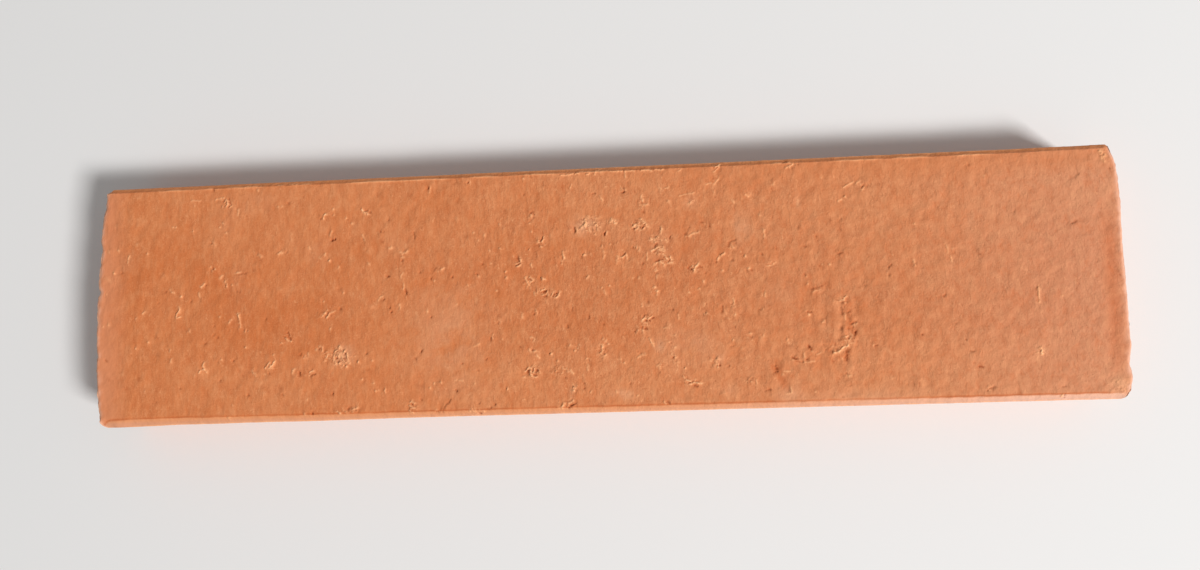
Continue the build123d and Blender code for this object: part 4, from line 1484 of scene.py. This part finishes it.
    def build(self) -> bpy.types.Object:
        """Make the whole skin as one closed mesh.

        Returns:
            The object, in metres and in place.
        """
        self._make_back(self._make_walls(self._make_face()))
        points = np.clip(np.concatenate(self._points), self.shape.low, self.shape.high)
        corners, sizes = np.concatenate(self._corners), np.concatenate(self._sizes)
        mesh = bpy.data.meshes.new("clay_slip")
        mesh.vertices.add(len(points))
        mesh.vertices.foreach_set("co", (points * MM).ravel())
        mesh.loops.add(len(corners))
        mesh.loops.foreach_set("vertex_index", corners.astype(np.int32))
        mesh.polygons.add(len(sizes))
        mesh.polygons.foreach_set("loop_start", (np.cumsum(sizes) - sizes).astype(np.int32))
        mesh.polygons.foreach_set("use_smooth", np.ones(len(sizes), dtype=bool))
        mesh.update(calc_edges=True)
        mesh.validate()
        layer = mesh.uv_layers.new(name="OFBake")
        layer.data.foreach_set("uv", np.concatenate(self._places).astype(np.float32).ravel())
        for name in WEAR_AND_LIGHT:
            values = np.concatenate([getattr(skin, name) for skin in self._skins])
            kept = mesh.attributes.new(name, "FLOAT", "POINT")
            kept.data.foreach_set("value", np.clip(values, 0.0, 1.0).astype(np.float32))
        slip = bpy.data.objects.new("clay_slip", mesh)
        bpy.context.scene.collection.objects.link(slip)
        LOG.info("clay_slip: %d points, %d triangles", len(points), int((sizes - 2).sum()))
        return slip


Feed = Union["Wire", float, int, tuple]
Span = tuple[float, ...]


class Wire:
    """A node's output that takes part in ordinary arithmetic."""

    def __init__(self, board: "Board", socket: bpy.types.NodeSocket) -> None:
        """Hold an output and the board that it is on."""
        self.board = board
        self.socket = socket

    def _join(self, operation: str, first: Feed, second: Feed) -> "Wire":
        """Add a Math node with these two inputs."""
        return self.board.node("ShaderNodeMath", {"operation": operation}, {0: first, 1: second})

    def __add__(self, other: Feed) -> "Wire":
        """Add."""
        return self._join("ADD", self, other)

    __radd__ = __add__

    def __sub__(self, other: Feed) -> "Wire":
        """Take away."""
        return self._join("SUBTRACT", self, other)

    def __rsub__(self, other: Feed) -> "Wire":
        """Take this away from the other."""
        return self._join("SUBTRACT", other, self)

    def __mul__(self, other: Feed) -> "Wire":
        """Multiply."""
        return self._join("MULTIPLY", self, other)

    __rmul__ = __mul__

    def at_most(self, other: Feed) -> "Wire":
        """Give the lower of two."""
        return self._join("MINIMUM", self, other)

    def _ease(self, span: Span, first: float, last: float) -> "Wire":
        """Ease from one value to another between a span's low and high ends."""
        return self.board.node("ShaderNodeMapRange", {"interpolation_type": "SMOOTHSTEP"},
                               {"Value": self, "From Min": span[0], "From Max": span[1],
                                "To Min": first, "To Max": last})

    def rise(self, span: Span) -> "Wire":
        """Ease from 0 at a span's low end to its strength at the high one."""
        return self._ease(span, 0.0, span[2] if len(span) > 2 else 1.0)

    def fall(self, span: Span) -> "Wire":
        """Ease from a span's strength at its low end to 0 at the high one."""
        return self._ease(span, span[2] if len(span) > 2 else 1.0, 0.0)


@dataclass(frozen=True)
class Grain:
    """A noise of the clay: the pitch of its swells in mm, its detail, roughness and warp, and how
    places are turned, in degrees, and stretched before they are read."""

    pitch: float
    detail: float = 2.0
    rough: float = 0.5
    warp: float = 0.0
    turn: float = 0.0
    stretch: tuple[float, float, float] = (1.0, 1.0, 1.0)


class Board:
    """A material's node board."""

    def __init__(self, name: str) -> None:
        """Make a new material with an empty board.

        Args:
            name: The material's name.
        """
        self.material = bpy.data.materials.new(name)
        self.material.use_nodes = True
        self._tree = self.material.node_tree
        self._tree.nodes.clear()

    def node(self, kind: str, settings: dict[str, object], feeds: dict[Union[str, int], Feed],
             output: Union[str, int] = 0) -> Wire:
        """Add a node.

        Args:
            kind: Its Blender type.
            settings: Its own settings, which are set before its inputs.
            feeds: The value or wire for each input, by name or number.
            output: The name or number of the output to give back.

        Returns:
            That output.
        """
        made = self._tree.nodes.new(kind)
        for name, value in settings.items():
            setattr(made, name, value)
        for key, feed in feeds.items():
            socket = made.inputs[key]
            if isinstance(feed, Wire):
                self._tree.links.new(feed.socket, socket)
            elif isinstance(feed, tuple) and len(feed) == 3 and socket.type == "RGBA":
                socket.default_value = (*feed, 1.0)
            else:
                socket.default_value = feed
        return Wire(self, made.outputs[output] if made.outputs else None)

    def mix(self, amount: Feed, first: Feed, second: Feed) -> Wire:
        """Blend two colours."""
        return self.node("ShaderNodeMix", {"data_type": "RGBA"}, {0: amount, 6: first, 7: second}, 2)

    def wear(self, name: str) -> Wire:
        """Read one of the skin's own measures."""
        return self.node("ShaderNodeAttribute", {"attribute_name": name}, {}, "Fac")

    def noise(self, where: Wire, grain: Grain) -> Wire:
        """Read a grain of noise at places in mm, about 0.5 on average."""
        turned = self.node("ShaderNodeMapping", {"vector_type": "POINT"},
                           {"Vector": where, "Rotation": (0.0, 0.0, math.radians(grain.turn)),
                            "Scale": grain.stretch})
        return self.node("ShaderNodeTexNoise", {}, {"Vector": turned, "Scale": 1.0 / grain.pitch,
                                                    "Detail": grain.detail, "Roughness": grain.rough,
                                                    "Distortion": grain.warp})

    def finish(self, feeds: dict[str, Feed]) -> None:
        """End the board in a plain shader with these inputs."""
        shader = self.node("ShaderNodeBsdfPrincipled", {}, feeds)
        self.node("ShaderNodeOutputMaterial", {}, {"Surface": shader})


@dataclass(frozen=True)
class FiredClay:
    """Orange-red fired clay with a smooth pressed face, pale edges that are partly dusty and partly
    painted light, and pits and grooves darkened with painted shade.

    A span gives the two values that a layer eases between, in mm for places, and its strength
    where that isn't 1. The flanks' span is in squares of the distance from the middle line.
    """

    body: Colour = shade(212, 126, 76)
    warm: Colour = shade(207, 117, 66)
    rosy: Colour = shade(203, 133, 93)
    # Pale dusty clay, which is also the painted highlight on raised marks, ridges, crumbs, the back burr
    # and the rims
    dust_and_highlight: Colour = shade(253, 183, 130)
    # The palest painted highlight, on the highest ridges
    bright: Colour = shade(253, 200, 150)
    far_rosy: Colour = shade(210, 144, 112)
    peach: Colour = shade(222, 157, 116)
    # The front bevel, partly dusty and partly a painted sheen
    front_left: Colour = shade(215, 148, 112)
    front_right: Colour = shade(220, 171, 151)
    crease_left: Colour = shade(221, 146, 99)
    crease_right: Colour = shade(232, 178, 149)
    # The back bevel, partly dusty and partly lifted out of the shade it lies in: painted light
    back_edge: Colour = shade(228, 146, 94)
    back_crease: Colour = shade(225, 132, 76)
    # The ends' rims, partly rubbed and partly a painted highlight; the left one, paler, also lifts the
    # shade of its rounded edge
    pink_left: Colour = shade(247, 189, 160)
    pink_right: Colour = shade(230, 175, 147)
    blush: Colour = shade(219, 139, 97)
    # Deep orange for the patches' lows, and painted shade in hollows, the front groove, the dip and beside
    # raised marks
    ember: Colour = shade(197, 100, 50)
    # Painted shade in the sand's low places
    shadow: Colour = shade(184, 94, 44)
    # Dark specks, and the painted shade in pits, grooves, crumbs' gaps and beside raised marks
    speck_and_shade: Colour = shade(154, 70, 28)
    clouds: Grain = Grain(17.0, 4.0, 0.55)
    mottle: Grain = Grain(4.5, 4.0, 0.6)
    blots: Grain = Grain(0.66, 3.0, 0.6, 0.5, 6.0, (1.0, 0.6, 1.0))
    pools: Grain = Grain(1.9, 2.0, 0.5, 0.4, 6.0, (1.0, 0.6, 1.0))
    specks: Grain = Grain(0.55, 2.0, 0.7, 1.2, 6.0, (1.0, 0.6, 1.0))
    sand: Grain = Grain(0.3, 2.0, 0.6)
    streaks: Grain = Grain(0.7, 2.0, 0.5, 0.0, 6.0, (1.0, 0.3, 1.0))
    crumbs: Grain = Grain(0.5, 2.0, 0.6, 0.8, -40.0, (0.6, 1.0, 1.0))
    pimples: Grain = Grain(0.9)
    cloud_span: Span = (0.36, 0.64)
    right_span: Span = (-120.0, 120.0, 0.6)
    mottle_share: float = 0.6
    far_span: Span = (55.0, 125.0, 0.6)
    flank_squares: Span = (20.0, 260.0, 0.065)
    streak_span: Span = (-10.0, 45.0, 0.75)
    calm_span: Span = (-60.0, 10.0, 0.48)
    blot_share: float = 0.6
    pool_share: float = 0.6
    streak_share: float = 0.5
    # Patches paler on the bump's highs and deeper on its lows: partly mottling, partly painted relief
    # shading
    patch_pale: float = 0.8
    patch_ember: float = 1.6
    # Sand paler on its highs, and with painted shade on its lows
    sand_pale: Pair = (0.5, 0.64)
    sand_shadow: Pair = (0.46, 0.9)
    speck_span: Span = (0.35, 0.6, 0.7)
    least_specks: float = 0.3
    pale_specks: Span = (0.6, 0.68, 0.52)
    dark_specks: Span = (0.33, 0.4, 0.46)
    left_end: Span = (-109.0, -101.0)
    blush_span: Span = (0.1, 0.5, 0.9)
    back_right: tuple[Span, Span] = ((-20.0, 80.0), (19.0, 24.5, 0.42))
    deep_share: float = 0.8
    haze_span: Span = (0.25, 0.6)
    band_far: Span = (-20.0, 110.0)
    band_curve: Pair = (0.6, 0.4)
    front_span: Span = (-25.9, -24.9)
    back_span: Span = (25.6, 26.3)
    band_share: Pair = (0.4, 0.75)
    middle: Span = (-5.0, 5.0)
    fleck_span: Span = (0.5, 0.6)
    hole_span: Span = (0.34, 0.42, 0.7)
    pale_share: float = 0.9
    bright_span: Span = (0.7, 1.0, 0.8)
    dark_share: float = 0.85
    roughness: float = 0.88
    rough_sand: float = 0.16
    rough_pale: float = 0.08
    shine: float = 0.2
    streak_height: float = 0.07
    blot_height: float = 0.14
    pimple_height: float = 0.12
    sand_height: float = 0.034
    crumb_height: float = 0.3
    speck_height: float = 0.08

    def build(self) -> bpy.types.Material:
        """Make the clay's material.

        Returns:
            The material.
        """
        board = Board("fired_clay_skin")
        place = board.node("ShaderNodeTexCoord", {}, {}, "Object")
        where = board.node("ShaderNodeVectorMath", {"operation": "SCALE"}, {0: place, "Scale": 1.0 / MM})
        along = board.node("ShaderNodeSeparateXYZ", {}, {0: where}, "X")
        across = board.node("ShaderNodeSeparateXYZ", {}, {0: where}, "Y")
        pale, dark, haze, deep, band, crumb, rim, end, side = (board.wear(name) for name in WEAR_AND_LIGHT)
        grains = (self.clouds, self.mottle, self.blots, self.pools, self.specks, self.sand,
                  self.streaks, self.crumbs, self.pimples)
        clouds, mottle, blots, pools, specks, sand, streaks, crumbs, pimples = (
            board.noise(where, grain) for grain in grains)

        to_right = along.rise(self.right_span)
        sandy = 1.0 - to_right
        left = 1.0 - along.rise(self.streak_span)
        calm = 1.0 - along.fall(self.calm_span)
        patches = ((blots - 0.5) * self.blot_share * calm + (pools - 0.5) * self.pool_share
                   + (streaks - 0.5) * self.streak_share * left)
        gritty = sandy * calm * (mottle.rise(self.speck_span) + self.least_specks)
        # Painted highlights on the crumbs' highs, and painted shade in their gaps
        flecks, holes = crumb * crumbs.rise(self.fleck_span), crumb * crumbs.fall(self.hole_span)
        along_back, to_back = self.back_right
        far = along.rise(self.band_far)
        far = far * (far * self.band_curve[0] + self.band_curve[1])
        front = board.mix(across.rise(self.front_span), board.mix(far, self.front_left, self.front_right),
                          board.mix(far, self.crease_left, self.crease_right))
        back = board.mix(across.rise(self.back_span), self.back_crease, self.back_edge)
        layers = (
            # The body, rosier to the right and paler along the flanks
            (clouds.fall(self.cloud_span), self.warm),
            (to_right + (mottle - 0.5) * self.mottle_share, self.rosy),
            (along.rise(self.far_span), self.far_rosy),
            ((across * across).rise(self.flank_squares), self.dust_and_highlight),
            # Patches, calmer to the left, and the streaks there, paler on the bump's highs and deeper on
            # its lows: partly mottling, partly painted relief shading
            (patches * self.patch_pale, self.dust_and_highlight),
            (patches * -self.patch_ember, self.ember),
            # Sand, paler on its highs and with painted shade on its lows, and specks, which fade
            # towards the right
            ((sand - self.sand_pale[0]) * self.sand_pale[1] * sandy, self.dust_and_highlight),
            ((self.sand_shadow[0] - sand) * self.sand_shadow[1] * sandy, self.shadow),
            (specks.rise(self.pale_specks) * gritty, self.dust_and_highlight),
            (specks.fall(self.dark_specks) * gritty, self.speck_and_shade),
            # The left end, the back right, painted shade in the hollows, and the smudges
            (along.fall(self.left_end) * mottle.rise(self.blush_span), self.blush),
            (along.rise(along_back) * across.rise(to_back), self.body),
            (deep * self.deep_share, self.ember),
            (haze * mottle.rise(self.haze_span), self.peach),
            # The bevels and the ends' rims, partly painted light: a sheen on the front bevel,
            # the back bevel and the left rim lifted out of their shade, a highlight on the rims
            (band * (mottle * self.band_share[0] + self.band_share[1]),
             board.mix(across.rise(self.middle), front, back)),
            (rim, board.mix(along.rise(self.middle), self.pink_left, self.pink_right)),
            # Crumbs, ridges and pits: painted highlights on raised marks, ridges and crumbs,
            # and painted shade in pits, grooves, crumbs' gaps and beside raised marks
            ((pale + flecks).at_most(1.0) * self.pale_share, self.dust_and_highlight),
            (pale.rise(self.bright_span), self.bright),
            ((dark + holes).at_most(1.0) * self.dark_share, self.speck_and_shade))
        colour = self.body
        for amount, tint in layers:
            colour = board.mix(amount, colour, tint)

        # The finest relief
        flat = 1.0 - (end + side).at_most(1.0)
        even = pimples * self.pimple_height + blots * self.blot_height + sand * self.sand_height
        relief = (streaks * left * flat * self.streak_height + even * calm
                  + crumb * crumbs * self.crumb_height + specks * gritty * self.speck_height)
        bump = {"Strength": 1.0, "Distance": MM, "Height": relief}
        rough = (sand - 0.5) * self.rough_sand + (pale * self.rough_pale + self.roughness)
        board.finish({"Base Color": colour, "Roughness": rough, "Specular IOR Level": self.shine,
                      "Normal": board.node("ShaderNodeBump", {}, bump, "Normal")})
        return board.material


@dataclass(frozen=True)
class Studio:
    """A plain pale floor, one large soft lamp at the front right and an even fill."""

    floor_size: float = 4.0
    floor_colour: Colour = (0.80, 0.79, 0.78)
    floor_roughness: float = 0.9
    floor_shine: float = 0.1
    lamp_size: float = 0.42
    lamp_distance: float = 1.9
    lamp_turn: float = -30.0
    lamp_height: float = 42.0
    lamp_share: float = 0.68
    fill_share: float = 0.32

    def build(self) -> None:
        """Make the floor, the lamp and the fill."""
        half = 0.5 * self.floor_size
        mesh = bpy.data.meshes.new("studio_floor")
        mesh.from_pydata([(-half, -half, 0.0), (half, -half, 0.0), (half, half, 0.0), (-half, half, 0.0)],
                         [], [(0, 1, 2, 3)])
        floor = bpy.data.objects.new("studio_floor", mesh)
        bpy.context.scene.collection.objects.link(floor)
        board = Board("studio_floor")
        board.finish({"Base Color": self.floor_colour, "Roughness": self.floor_roughness,
                      "Specular IOR Level": self.floor_shine})
        mesh.materials.append(board.material)
        turn, height = math.radians(self.lamp_turn), math.radians(self.lamp_height)
        level = math.cos(height)
        away = Vector((math.cos(turn) * level, math.sin(turn) * level, math.sin(height)))
        data = bpy.data.lights.new("key_lamp", "AREA")
        data.shape = "SQUARE"
        data.size = self.lamp_size
        data.energy = self.lamp_share * (math.pi * self.lamp_distance) ** 2 / math.sin(height)
        lamp = bpy.data.objects.new("key_lamp", data)
        lamp.location = away * self.lamp_distance
        lamp.rotation_euler = away.to_track_quat("Z", "Y").to_euler()
        bpy.context.scene.collection.objects.link(lamp)
        world = bpy.data.worlds.new("studio")
        world.use_nodes = True
        world.node_tree.nodes["Background"].inputs["Color"].default_value = (1.0, 1.0, 1.0, 1.0)
        world.node_tree.nodes["Background"].inputs["Strength"].default_value = self.fill_share
        bpy.context.scene.world = world
        bpy.context.scene.view_settings.view_transform = "Standard"
        LOG.info("studio: floor, lamp and fill")


def main() -> None:
    """Build the camera, the brick slip and the studio."""
    logging.basicConfig(level=logging.INFO, format="%(name)s: %(message)s")
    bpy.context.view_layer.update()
    PhotoCamera().build()
    shape = CadShape(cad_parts[NODE])
    slip = ClaySlip(shape, Plan(shape), FaceRelief()).build()
    slip.data.materials.append(FiredClay().build())
    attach(slip, BODY)
    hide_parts(NODE)
    Studio().build()


if __name__ == "__main__":
    main()
